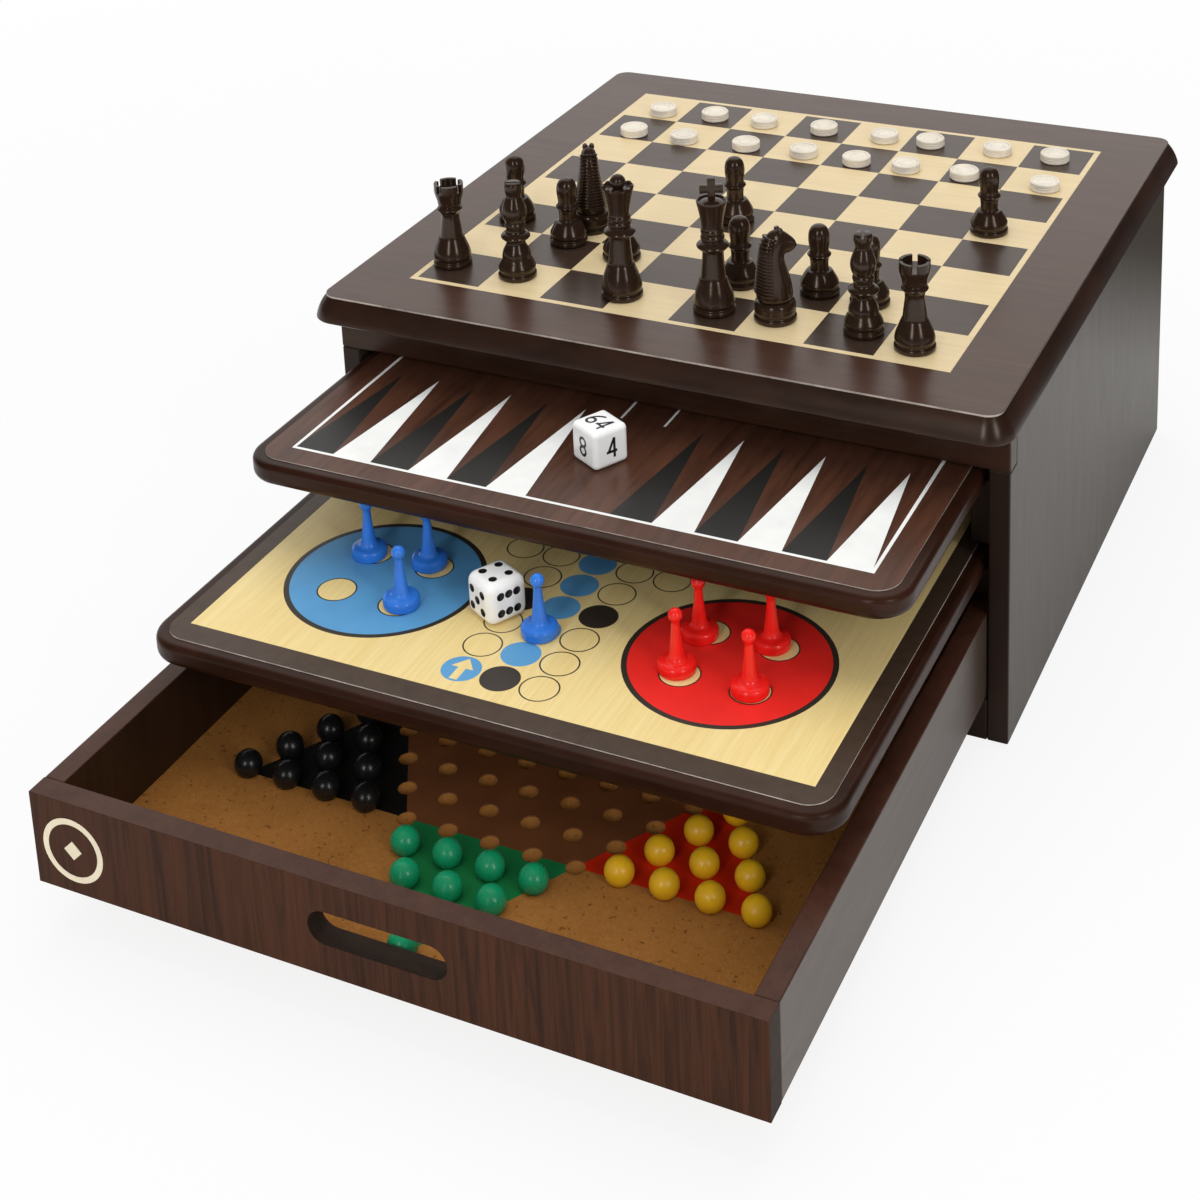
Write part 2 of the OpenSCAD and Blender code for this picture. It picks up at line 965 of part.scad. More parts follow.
module chess_queen() {
    points = 8;
    rim_r = 6.2;
    rim_z = 46.2;
    ball = 3.2;
    color(men_dark)
    translate([queen_at[0], queen_at[1], top_z]) {
        difference() {
            turned_man(concat(
                royal_points(),
                [
                    [4.4, 37], [5.2, 41.4], [rim_r, rim_z - 1], [rim_r, rim_z],
                    [rim_r - 0.8, rim_z], [rim_r - 1.6, rim_z - 1.4], [0, rim_z - 1.6]
                ]
            ));
            for (i = [0 : points - 1])
                rotate([0, 0, i * 360 / points])
                    translate([2.5, 0, rim_z + 0.9])
                        rotate([0, 90, 0]) cylinder(r = 1.5, h = rim_r);
        }
        translate([0, 0, rim_z + 1.4]) sphere(r = ball);
    }
}

module chess_bishops() {
    color(men_dark)
    for (p = bishops_at) translate([p[0], p[1], top_z]) rotate([0, 0, p[2]]) chess_bishop();
}

module chess_rooks() {
    color(men_dark)
    for (p = rooks_at) translate([p[0], p[1], top_z]) rotate([0, 0, p[2]]) chess_rook();
}

module chess_pawns() {
    color(men_dark)
    for (p = pawns_at) translate([p[0], p[1], top_z]) chess_pawn();
}

// side outline of the horse, muzzle towards +X
module horse_2d() {
    polygon([
        [-7.4, 7], [-7.4, 12], [-7.1, 17], [-6.6, 22], [-6.1, 27], [-5.3, 31], [-3.8, 34.4],
        [-1.2, 36.8], [1, 37.4], [2.8, 36.6], [5, 34.8], [7, 33], [8.6, 31],
        [9.1, 29], [8.6, 27.4], [6.8, 26.2], [4.6, 26.8], [3.8, 26.2], [4, 23.6], [5.2, 19],
        [6.7, 14], [7.2, 7]
    ]);
}

module chess_knight() {
    head_t = 14.4;
    mane_cuts = 9;
    turned_man(concat(
        foot_points(8.2),
        [[7.9, 6.6], [7.7, 7.8], [7.2, 8.4], [0, 8.4]]
    ));
    difference() {
        intersection() {
            rotate([90, 0, 0])
                translate([0, 0, -head_t / 2]) linear_extrude(head_t) horse_2d();
            // narrower towards the ears
            rotate([90, 0, 90])
                translate([0, 0, -15]) linear_extrude(30)
                    polygon([[-7.1, 6], [7.1, 6], [6.3, 14], [5, 22], [4.1, 30], [2.8, 38],
                        [-2.8, 38], [-4.1, 30], [-5, 22], [-6.3, 14]]);
        }
        for (i = [0 : mane_cuts - 1])
            translate([-7.9 + i * 0.14, 0, 13 + i * 2.3])
                rotate([0, 12, 0]) cube([2.4, head_t + 2, 0.6], center = true);
    }
}

module chess_knights() {
    color(men_dark)
    for (p = knights_at)
        translate([p[0], p[1], top_z]) rotate([0, 0, p[2]]) chess_knight();
}

// ---------- draughts and doubling cube ----------

module draught() {
    edge = 0.5;
    inner = draught_r - draught_rim;
    turned_man([
        [0, draught_dish], [inner, draught_dish], [inner + edge / 2, 0], [draught_r - edge, 0],
        [draught_r, edge], [draught_r, draught_h - edge], [draught_r - edge, draught_h],
        [inner + edge / 2, draught_h], [inner, draught_h - draught_dish],
        [0, draught_h - draught_dish]
    ]);
}

module draughts() {
    color(cream)
    for (p = draughts_at) translate([p[0], p[1], top_z]) draught();
}

numeral_h = 6.4;
numeral_w = 3.8;
stroke = 0.85;
numeral_scale = 1.22;

module loop_2d(h) {
    difference() {
        circle(d = h);
        circle(d = h - 2 * stroke);
    }
}

// plain numerals drawn with strokes, centred
module numeral(n) {
    loop_h = 3.6;
    if (n == 8)
        for (s = [-1, 1])
            translate([0, s * (numeral_h - loop_h) / 2]) loop_2d(loop_h);
    if (n == 6) {
        translate([0, -(numeral_h - loop_h) / 2]) loop_2d(loop_h);
        intersection() {
            translate([numeral_h / 2, -(numeral_h - loop_h) / 2])
                difference() {
                    circle(r = numeral_h / 2 + loop_h / 2);
                    circle(r = numeral_h / 2 + loop_h / 2 - stroke);
                }
            translate([-loop_h / 2, -(numeral_h - loop_h) / 2])
                square([loop_h, numeral_h - loop_h / 2]);
        }
    }
    if (n == 4) {
        translate([0.5, -numeral_h / 2]) square([stroke, numeral_h]);
        translate([-1.9, -1.6]) square([3.8, stroke]);
        polygon([
            [-1.9, -1.6], [-0.9, -1.6], [1.1, numeral_h / 2 - 0.6],
            [1.1, numeral_h / 2], [0.5, numeral_h / 2]
        ]);
    }
    if (n == 3)
        difference() {
            for (s = [-1, 1])
                translate([0, s * (numeral_h - loop_h) / 2]) loop_2d(loop_h);
            translate([-loop_h / 2 - 1, -1.6]) square([2, 3.2]);
        }
    if (n == 2) {
        difference() {
            translate([0, (numeral_h - loop_h) / 2]) loop_2d(loop_h);
            translate([-loop_h, 0]) square([loop_h, 1.4]);
            translate([-loop_h, -1]) square([loop_h * 1.4, 1.3]);
        }
        translate([-loop_h / 2, -numeral_h / 2]) square([loop_h, stroke]);
        polygon([
            [-loop_h / 2, -numeral_h / 2 + 0.4], [-0.7, -numeral_h / 2 + 0.4],
            [loop_h / 2 - 0.1, 1.1], [loop_h / 2 - 1, 1.1]
        ]);
    }
    if (n == 1)
        translate([-stroke / 2, -numeral_h / 2]) square([stroke, numeral_h]);
}

// digits of one face side by side
module face_number(digits) {
    count = len(digits);
    scale(numeral_scale)
        for (i = [0 : count - 1])
            translate([(i - (count - 1) / 2) * (numeral_w + 0.6), 0]) numeral(digits[i]);
}

// faces as [digits, turn about X, turn about Z]; the face starts on top
cube_faces = [
    [[6, 4], 0, 0], [[1, 6], 180, 0], [[8], 90, 0],
    [[2], 90, 180], [[4], 90, 90], [[3, 2], 90, -90]
];

module cube_marks(extra) {
    for (f = cube_faces)
        rotate([0, 0, f[2]]) rotate([f[1], 0, 0])
            translate([0, 0, cube_w / 2 - sheet_t])
                linear_extrude(sheet_t + extra) face_number(f[0]);
}

module at_cube() {
    translate([cube_at[0], cube_at[1], backgammon_top + cube_w / 2 + lift_gap])
        rotate([0, 0, cube_turn]) children();
}

module doubling_cube() {
    color(white_ink)
    at_cube() difference() {
        rounded_block(cube_w, cube_round);
        cube_marks(1);
    }
}

module doubling_cube_numbers() {
    color(ink_black) at_cube() cube_marks(0);
}

top_panel();
chess_field_light();
chess_field_dark();
front_rail();
side_panel_left();
side_panel_right();
back_panel();
base_panel();
upper_runners();
spacer_runners();
lower_runners();
backgammon_board();
backgammon_white_print();
backgammon_black_print();
ludo_board();
ludo_field();
ludo_black_marks();
ludo_blue_marks();
ludo_red_marks();
ludo_green_marks();
ludo_yellow_marks();
ludo_pawns_blue();
ludo_pawns_red();
die();
die_pips();
drawer_front();
drawer_back();
drawer_side_left();
drawer_side_right();
drawer_floor();
star_centre_sheet();
star_green_sheet();
star_black_sheet();
star_red_sheet();
star_blue_sheet();
star_yellow_sheet();
star_white_sheet();
balls_black();
balls_green();
balls_yellow();
drawer_motif();
chess_king();
chess_queen();
chess_bishops();
chess_knights();
chess_rooks();
chess_pawns();
draughts();
doubling_cube();
doubling_cube_numbers();
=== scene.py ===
import math
import bpy
from mathutils import Matrix, Vector


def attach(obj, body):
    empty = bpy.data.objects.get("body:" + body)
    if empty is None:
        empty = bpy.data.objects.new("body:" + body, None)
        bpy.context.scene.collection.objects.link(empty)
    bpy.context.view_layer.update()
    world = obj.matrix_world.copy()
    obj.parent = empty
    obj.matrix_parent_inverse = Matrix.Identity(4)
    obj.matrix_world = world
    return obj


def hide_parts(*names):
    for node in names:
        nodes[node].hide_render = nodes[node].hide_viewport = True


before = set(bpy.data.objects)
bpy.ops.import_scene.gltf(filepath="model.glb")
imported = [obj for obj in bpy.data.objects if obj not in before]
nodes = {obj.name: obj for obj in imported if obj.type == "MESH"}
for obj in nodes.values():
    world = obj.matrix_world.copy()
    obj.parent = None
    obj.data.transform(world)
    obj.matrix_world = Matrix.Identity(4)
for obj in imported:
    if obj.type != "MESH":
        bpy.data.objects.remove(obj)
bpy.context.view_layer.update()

mm = 0.001  # sizes and places of pieces are in mm
playFaces = {"top": 139.5, "backgammon": 108.9, "ludo": 73.1}  # how high they lie above the table
print("frame loaded:", len(nodes), "nodes")


# helpers that work on one mesh at a time
def deselectAll():
    if bpy.context.object and bpy.context.object.mode != "OBJECT":
        bpy.ops.object.mode_set(mode="OBJECT")
    bpy.ops.object.select_all(action="DESELECT")


def pickOnly(piece):
    deselectAll()
    piece.select_set(True)
    bpy.context.view_layer.objects.active = piece


def pickSeveral(pieces, active):
    deselectAll()
    for piece in pieces:
        piece.select_set(True)
    bpy.context.view_layer.objects.active = active


def startEdit(piece):
    pickOnly(piece)
    bpy.ops.object.mode_set(mode="EDIT")
    bpy.ops.mesh.select_mode(type="FACE")


def endEdit():
    bpy.ops.object.mode_set(mode="OBJECT")


def clearPick(kind):
    bpy.ops.object.mode_set(mode="EDIT")
    bpy.ops.mesh.select_mode(type=kind)
    bpy.ops.mesh.select_all(action="DESELECT")
    bpy.ops.object.mode_set(mode="OBJECT")


def pickFaces(piece, test):
    # selects the faces whose centre and normal pass the test, and stays in edit mode
    clearPick("FACE")
    for face in piece.data.polygons:
        face.select = bool(test(face.center, face.normal))
    bpy.ops.object.mode_set(mode="EDIT")


def pickEdges(piece, test):
    # selects the edges whose two points' numbers pass the test
    clearPick("EDGE")
    for edge in piece.data.edges:
        edge.select = bool(test(edge.vertices))
    bpy.ops.object.mode_set(mode="EDIT")


def pickVerts(piece, test):
    clearPick("VERT")
    for vert in piece.data.vertices:
        vert.select = bool(test(vert.co))
    bpy.ops.object.mode_set(mode="EDIT")


def applyPlace(piece):
    pickOnly(piece)
    bpy.ops.object.transform_apply(location=True, rotation=True, scale=True)


def applyAll(piece):
    pickOnly(piece)
    for modifier in list(piece.modifiers):
        bpy.ops.object.modifier_apply(modifier=modifier.name)


def smooth(piece, degrees):
    pickOnly(piece)
    bpy.ops.object.shade_smooth_by_angle(angle=math.radians(degrees))


def tidyNormals(piece):
    sameSpot = 0.002 * mm
    startEdit(piece)
    bpy.ops.mesh.select_all(action="SELECT")
    bpy.ops.mesh.remove_doubles(threshold=sameSpot)
    bpy.ops.mesh.normals_make_consistent(inside=False)
    endEdit()


def easeEdges(piece, width, sharpFrom):
    # edges between faces that turn by more than sharpFrom degrees get a small round
    ease = piece.modifiers.new("ease", "BEVEL")
    ease.width = width * mm
    ease.segments = 2
    ease.limit_method = "ANGLE"
    ease.angle_limit = math.radians(sharpFrom)
    applyAll(piece)


def hand(piece, body, node, finishes):
    # gives a finished piece its materials and its body, and hides the node it stands for
    chosen = [face.material_index for face in piece.data.polygons]
    piece.data.materials.clear()
    for name in finishes:
        piece.data.materials.append(materials[name])
    for face, index in zip(piece.data.polygons, chosen):
        face.material_index = index
    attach(piece, body)
    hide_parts(node)


def smoothLine(points, perSpan=3):
    # a curve through the points of a profile, with perSpan steps between two of them
    result = []
    count = len(points)
    for i in range(count - 1):
        p0 = Vector(points[max(i - 1, 0)])
        p1 = Vector(points[i])
        p2 = Vector(points[i + 1])
        p3 = Vector(points[min(i + 2, count - 1)])
        for j in range(perSpan):
            t = j / perSpan
            p = 0.5 * (2 * p1 + (p2 - p0) * t + (2 * p0 - 5 * p1 + 4 * p2 - p3) * t * t
                       + (3 * p1 - p0 - 3 * p2 + p3) * t * t * t)
            result.append((max(p.x, 0.0), p.y))
    result.append(points[-1])
    return result


def turnOnLathe(name, points, steps):
    # a profile of radius and height, drawn point by point and spun about its own upright axis
    deselectAll()
    bpy.ops.mesh.primitive_plane_add(size=mm)
    piece = bpy.context.object
    piece.name = name
    bpy.ops.object.mode_set(mode="EDIT")
    bpy.ops.mesh.select_mode(type="VERT")
    bpy.ops.mesh.select_all(action="SELECT")
    bpy.ops.mesh.merge(type="CENTER")
    last = (0.0, 0.0)
    for index, point in enumerate(points):
        step = ((point[0] - last[0]) * mm, 0, (point[1] - last[1]) * mm)
        if index == 0:
            bpy.ops.transform.translate(value=step)
        else:
            bpy.ops.mesh.extrude_region_move(TRANSFORM_OT_translate={"value": step})
        last = point
    bpy.ops.mesh.select_all(action="SELECT")
    bpy.ops.mesh.spin(steps=steps, angle=math.tau, center=(0, 0, 0), axis=(0, 0, 1))
    endEdit()
    tidyNormals(piece)
    return piece


def placeCopies(piece, name, places, level):
    # one copy with its own mesh at each x, y and turn in degrees, joined into one piece
    copies = []
    for place in places:
        copy = bpy.data.objects.new(name, piece.data.copy())
        bpy.context.scene.collection.objects.link(copy)
        copy.rotation_euler = (0, 0, math.radians(place[2] if len(place) > 2 else 0))
        copy.location = (place[0] * mm, place[1] * mm, level * mm)
        copies.append(copy)
    pickSeveral(copies, copies[0])
    bpy.ops.object.transform_apply(location=True, rotation=True, scale=True)
    if len(copies) > 1:
        bpy.ops.object.join()
    joined = bpy.context.object
    joined.name = name
    bpy.data.objects.remove(piece)
    return joined


def cutAway(piece, cutter):
    cut = piece.modifiers.new("cut", "BOOLEAN")
    cut.operation = "DIFFERENCE"
    cut.solver = "EXACT"
    cut.object = cutter
    applyAll(piece)
    bpy.data.objects.remove(cutter)


# small builders for the materials' node trees
neutral = (1.0, 1.0, 1.0)
warm = (1.0, 0.86, 0.74)  # tint of what brown foil and lacquer mirror


def newMaterial(name, roughness, specular, coat=0.0, coatRoughness=0.1, tint=neutral):
    material = bpy.data.materials.new(name)
    material.use_nodes = True
    tree = material.node_tree
    tree.nodes.clear()
    output = tree.nodes.new("ShaderNodeOutputMaterial")
    shader = tree.nodes.new("ShaderNodeBsdfPrincipled")
    tree.links.new(shader.outputs["BSDF"], output.inputs["Surface"])
    shader.inputs["Roughness"].default_value = roughness
    shader.inputs["Specular IOR Level"].default_value = specular
    shader.inputs["Coat Weight"].default_value = coat
    shader.inputs["Coat Roughness"].default_value = coatRoughness
    shader.inputs["Specular Tint"].default_value = (*tint, 1)
    return material, tree, shader


def placed(tree, scale=(1, 1, 1), turn=(0, 0, 0)):
    coords = tree.nodes.new("ShaderNodeTexCoord")
    mapping = tree.nodes.new("ShaderNodeMapping")
    mapping.inputs["Scale"].default_value = scale
    mapping.inputs["Rotation"].default_value = turn
    tree.links.new(coords.outputs["Object"], mapping.inputs["Vector"])
    return mapping.outputs["Vector"]


def noise(tree, vector, scale, detail=3.0, roughness=0.55, distortion=0.0):
    node = tree.nodes.new("ShaderNodeTexNoise")
    node.inputs["Scale"].default_value = scale
    node.inputs["Detail"].default_value = detail
    node.inputs["Roughness"].default_value = roughness
    node.inputs["Distortion"].default_value = distortion
    tree.links.new(vector, node.inputs["Vector"])
    return node.outputs["Fac"]


def ramp(tree, value, stops):
    node = tree.nodes.new("ShaderNodeValToRGB")
    bar = node.color_ramp
    while len(bar.elements) < len(stops):
        bar.elements.new(0.5)
    for element, (place, color) in zip(bar.elements, stops):
        element.position = place
        element.color = (*color, 1)
    tree.links.new(value, node.inputs["Fac"])
    return node.outputs["Color"]


def mixed(tree, amount, first, second):
    node = tree.nodes.new("ShaderNodeMix")
    node.data_type = "RGBA"
    factor, colorA, colorB = (node.inputs[k] for k in (0, 6, 7))  # the sockets of its colour mode
    for socket, value in ((factor, amount), (colorA, first), (colorB, second)):
        if isinstance(value, float):
            socket.default_value = value
        elif isinstance(value, tuple):
            socket.default_value = (*value, 1)
        else:
            tree.links.new(value, socket)
    return node.outputs[2]


def ranged(tree, value, low, high, fromLow=0.0, fromHigh=1.0):
    node = tree.nodes.new("ShaderNodeMapRange")
    node.inputs["From Min"].default_value = fromLow
    node.inputs["From Max"].default_value = fromHigh
    node.inputs["To Min"].default_value = low
    node.inputs["To Max"].default_value = high
    tree.links.new(value, node.inputs["Value"])
    return node.outputs["Result"]


def timesOf(tree, first, second):
    node = tree.nodes.new("ShaderNodeMath")
    node.operation = "MULTIPLY"
    tree.links.new(first, node.inputs[0])
    tree.links.new(second, node.inputs[1])
    return node.outputs[0]


def blended(tree, amount, first, second):
    node = tree.nodes.new("ShaderNodeMixShader")
    for socket, value in zip(node.inputs, (amount, first, second)):
        tree.links.new(value, socket)
    return node.outputs[0]


def splitAxes(tree, vector):
    node = tree.nodes.new("ShaderNodeSeparateXYZ")
    tree.links.new(vector, node.inputs[0])
    return node.outputs


def bumped(tree, shader, height, strength, depth):
    node = tree.nodes.new("ShaderNodeBump")
    node.inputs["Strength"].default_value = strength
    node.inputs["Distance"].default_value = depth * mm
    tree.links.new(height, node.inputs["Height"])
    tree.links.new(node.outputs["Normal"], shader.inputs["Normal"])


def shade(color, factor):
    return tuple(min(c * factor, 1.0) for c in color)


# noises are scale, detail, roughness and distortion
grainLook = {
    "foilStreaks": (1.0, 5.0, 0.6, 0.9), "mouldingStreaks": (1.0, 5.0, 0.6, 0.4), "streakSpread": 0.35,
    "lines": (1.0, 4.0, 0.6, 1.6), "lineStops": (0.36, 0.58),
    "acrossFrom": 20, "finerAcross": 4.5, "finerAlong": 1.6,
    "pores": (1.0, 3.0, 0.7), "poreStops": (0.38, 0.56), "poreFiner": 3.2, "poreShade": 0.62,
    "duller": 0.06, "glossier": 0.05, "bump": 0.04, "bumpDepth": 0.2,
    "foilCoat": 0.18, "mouldingCoat": 0.2,  # how rough the coats are
}


def grainColors(tree, grain, streaks, streak, dark, light):
    spread = streak * grainLook["streakSpread"]
    long = noise(tree, placed(tree, grain), *streaks)
    pores = noise(tree, placed(tree, tuple(grainLook["poreFiner"] * g for g in grain)), *grainLook["pores"])
    return ramp(tree, long, [(0.5 - spread, dark), (0.5 + spread, light)]), pores


def finishGrain(tree, shader, color, pores, roughness):
    tree.links.new(color, shader.inputs["Base Color"])
    varied = ranged(tree, pores, roughness + grainLook["duller"], roughness - grainLook["glossier"])
    tree.links.new(varied, shader.inputs["Roughness"])
    bumped(tree, shader, pores, grainLook["bump"], grainLook["bumpDepth"])


def foilWood(name, dark, light, grain, roughness, streak=0.5, coat=0.0, speck=0.25, specular=0.5, tint=warm):
    # printed wood foil: long streaks, thin lines and fine pores; grain is the noise scale along X, Y, Z
    material, tree, shader = newMaterial(name, roughness, specular, coat, grainLook["foilCoat"], tint)
    color, pores = grainColors(tree, grain, grainLook["foilStreaks"], streak, dark, light)
    across, along = grainLook["finerAcross"], grainLook["finerAlong"]
    lineGrain = tuple((across if g > grainLook["acrossFrom"] else along) * g for g in grain)
    lines = noise(tree, placed(tree, lineGrain), *grainLook["lines"])
    low, high = grainLook["lineStops"]
    lineColor = ramp(tree, lines, [(low, shade(dark, grainLook["poreShade"])), (high, light)])
    finishGrain(tree, shader, mixed(tree, speck, color, lineColor), pores, roughness)
    return material


edgeLook = {
    "grain": (26, 26, 90), "noise": (1.0, 4.0, 0.6, 0.5), "stops": (0.35, 0.65), "speck": 0.25,
    "edgeBelow": (0.12, 0.02), "lineHalf": 0.03, "upright": (0.35, 0.75),  # mm, mm, part of the normal
    "patches": (70.0, 4.0, 0.7), "patchStops": (0.35, 0.6), "patchLeast": 0.45, "frontTurn": (-0.6, -0.1),
}


def mouldedWood(name, flat, edge, line, level, step, grain, roughness, streak=0.5, coat=0.0, specular=0.5,
                edgeSpecular=0.22, wearAndHighlight=(1.0, 1.0)):
    # foil on top, darker lacquer on the moulded edge, and a light line along the step between them, partly
    # wear and partly a painted highlight; the last argument is how much of the line shows on the front and on
    # the other sides
    material, tree, shader = newMaterial(name, roughness, specular, coat, grainLook["mouldingCoat"], warm)
    topColor, pores = grainColors(tree, grain, grainLook["mouldingStreaks"], streak, *flat)
    low, high = grainLook["poreStops"]
    poreColor = ramp(tree, pores, [(low, shade(flat[0], grainLook["poreShade"])), (high, flat[1])])
    topColor = mixed(tree, edgeLook["speck"], topColor, poreColor)
    edgeGrain = noise(tree, placed(tree, edgeLook["grain"]), *edgeLook["noise"])
    edgeColor = ramp(tree, edgeGrain, list(zip(edgeLook["stops"], edge)))
    coords = tree.nodes.new("ShaderNodeTexCoord")
    height = splitAxes(tree, coords.outputs["Object"])["Z"]
    facing = splitAxes(tree, coords.outputs["Normal"])
    lower, upper = edgeLook["edgeBelow"]
    onEdge = ranged(tree, height, 1.0, 0.0, (level - lower) * mm, (level - upper) * mm)
    lineAt, half = level - step, edgeLook["lineHalf"]
    onStep = ranged(tree, height, 0.0, 1.0, (lineAt - half) * mm, (lineAt + half) * mm)
    upright = ranged(tree, facing["Z"], 1.0, 0.0, *edgeLook["upright"])
    frontOrSide = ranged(tree, facing["Y"], *wearAndHighlight, *edgeLook["frontTurn"])
    patches = noise(tree, placed(tree), *edgeLook["patches"])
    patchy = ranged(tree, patches, edgeLook["patchLeast"], 1.0, *edgeLook["patchStops"])
    # the light line on the step, partly wear and partly a painted highlight; it can show less on faces that
    # do not face the front
    amount = timesOf(tree, timesOf(tree, timesOf(tree, onStep, upright), frontOrSide), patchy)
    color = mixed(tree, amount, mixed(tree, onEdge, topColor, edgeColor), line)
    tree.links.new(ranged(tree, onEdge, specular, edgeSpecular), shader.inputs["Specular IOR Level"])
    finishGrain(tree, shader, color, pores, roughness)
    return material


inkLook = {
    "cloud": (60.0, 3.0), "fine": (900.0, 2.0), "stops": (0.3, 0.7), "spread": 0.05,
    "bump": 0.02, "bumpDepth": 0.1,
}


def inkSheet(name, color, roughness=0.42, speck=0.06, specular=0.5):
    # flat printed colour with a little unevenness
    material, tree, shader = newMaterial(name, roughness, specular)
    cloud = noise(tree, placed(tree), *inkLook["cloud"])
    fine = noise(tree, placed(tree), *inkLook["fine"])
    low, high = inkLook["stops"]
    base = ramp(tree, cloud, [(low, shade(color, 1 - speck)), (high, shade(color, 1 + speck))])
    tree.links.new(base, shader.inputs["Base Color"])
    varied = ranged(tree, fine, roughness - inkLook["spread"], roughness + inkLook["spread"])
    tree.links.new(varied, shader.inputs["Roughness"])
    bumped(tree, shader, fine, inkLook["bump"], inkLook["bumpDepth"])
    return material


glossLook = {
    "drift": (120.0, 2.0), "wave": (260.0, 2.0), "fine": (1400.0, 2.0), "stops": (0.3, 0.7), "specular": 0.5,
    "glossier": 0.05, "duller": 0.06, "waveDepth": 0.4, "glowReach": (0.002, 0.002, 0.002), "glowScale": 0.5,
}


def moulded(name, color, roughness=0.22, speck=0.08, waviness=0.05, glow=0.0, tint=neutral):
    # glossy plastic or lacquer: slight waviness and colour drift; glow is the light let in below the skin
    material, tree, shader = newMaterial(name, roughness, glossLook["specular"], tint=tint)
    drift, wave, fine = (noise(tree, placed(tree), *glossLook[key]) for key in ("drift", "wave", "fine"))
    low, high = glossLook["stops"]
    base = ramp(tree, drift, [(low, shade(color, 1 - speck)), (high, shade(color, 1 + speck))])
    tree.links.new(base, shader.inputs["Base Color"])
    varied = ranged(tree, fine, roughness - glossLook["glossier"], roughness + glossLook["duller"])
    tree.links.new(varied, shader.inputs["Roughness"])
    if glow:
        shader.inputs["Subsurface Weight"].default_value = glow
        shader.inputs["Subsurface Radius"].default_value = glossLook["glowReach"]
        shader.inputs["Subsurface Scale"].default_value = glossLook["glowScale"]
    bumped(tree, shader, wave, waviness, glossLook["waveDepth"])
    return material


mdf = {
    "roughness": 0.75, "specular": 0.15, "cloud": (35.0, 4.0), "cloudStops": (0.3, 0.7),
    "tan": (0.31, 0.122, 0.024), "paleTan": (0.40, 0.165, 0.036),
    "fibres": (950.0, 3.0, 0.7, 1.2), "fibreColor": (0.52, 0.26, 0.09), "fibreShare": (0.0, 0.5, 0.48, 0.75),
    "specks": (480.0, 2.0, 0.8), "speckTurn": (0, 0, 0.7), "speckColor": (0.11, 0.04, 0.010),
    "speckShare": (0.8, 0.0, 0.29, 0.38), "bump": 0.12, "bumpDepth": 0.2,
}


def fibreBoard(name):
    # bare board: tan with pale fibres and dark specks
    material, tree, shader = newMaterial(name, mdf["roughness"], mdf["specular"])
    cloud = noise(tree, placed(tree), *mdf["cloud"])
    fibres = noise(tree, placed(tree), *mdf["fibres"])
    specks = noise(tree, placed(tree, turn=mdf["speckTurn"]), *mdf["specks"])
    base = ramp(tree, cloud, list(zip(mdf["cloudStops"], (mdf["tan"], mdf["paleTan"]))))
    base = mixed(tree, ranged(tree, fibres, *mdf["fibreShare"]), base, mdf["fibreColor"])
    base = mixed(tree, ranged(tree, specks, *mdf["speckShare"]), base, mdf["speckColor"])
    tree.links.new(base, shader.inputs["Base Color"])
    bumped(tree, shader, fibres, mdf["bump"], mdf["bumpDepth"])
    return material


boardEdge = ((0.018, 0.006, 0.003), (0.034, 0.011, 0.006))

# line is the colour of the light line along each step, partly wear and partly a painted highlight
mouldings = {
    "topFoil": {
        "flat": ((0.042, 0.017, 0.010), (0.062, 0.027, 0.017)),
        "edge": ((0.016, 0.006, 0.003), (0.030, 0.011, 0.006)),
        "line": (0.46, 0.40, 0.35), "level": playFaces["top"], "step": 0.8, "grain": (14, 160, 60),
        "roughness": 0.3, "coat": 0.1, "edgeSpecular": 0.5, "wearAndHighlight": (1.0, 0.12)},
    "mahogany": {
        "flat": ((0.034, 0.013, 0.007), (0.110, 0.043, 0.025)), "edge": boardEdge,
        "line": (0.62, 0.54, 0.47), "level": playFaces["backgammon"], "step": 0.4, "grain": (95, 9, 60),
        "roughness": 0.3, "streak": 0.7, "specular": 0.45},
    "ludoBorder": {
        "flat": ((0.042, 0.026, 0.016), (0.062, 0.038, 0.025)), "edge": boardEdge,
        "line": (0.80, 0.72, 0.64), "level": playFaces["ludo"], "step": 0.4, "grain": (60, 60, 60),
        "roughness": 0.36, "streak": 0.8, "specular": 0.4},
}

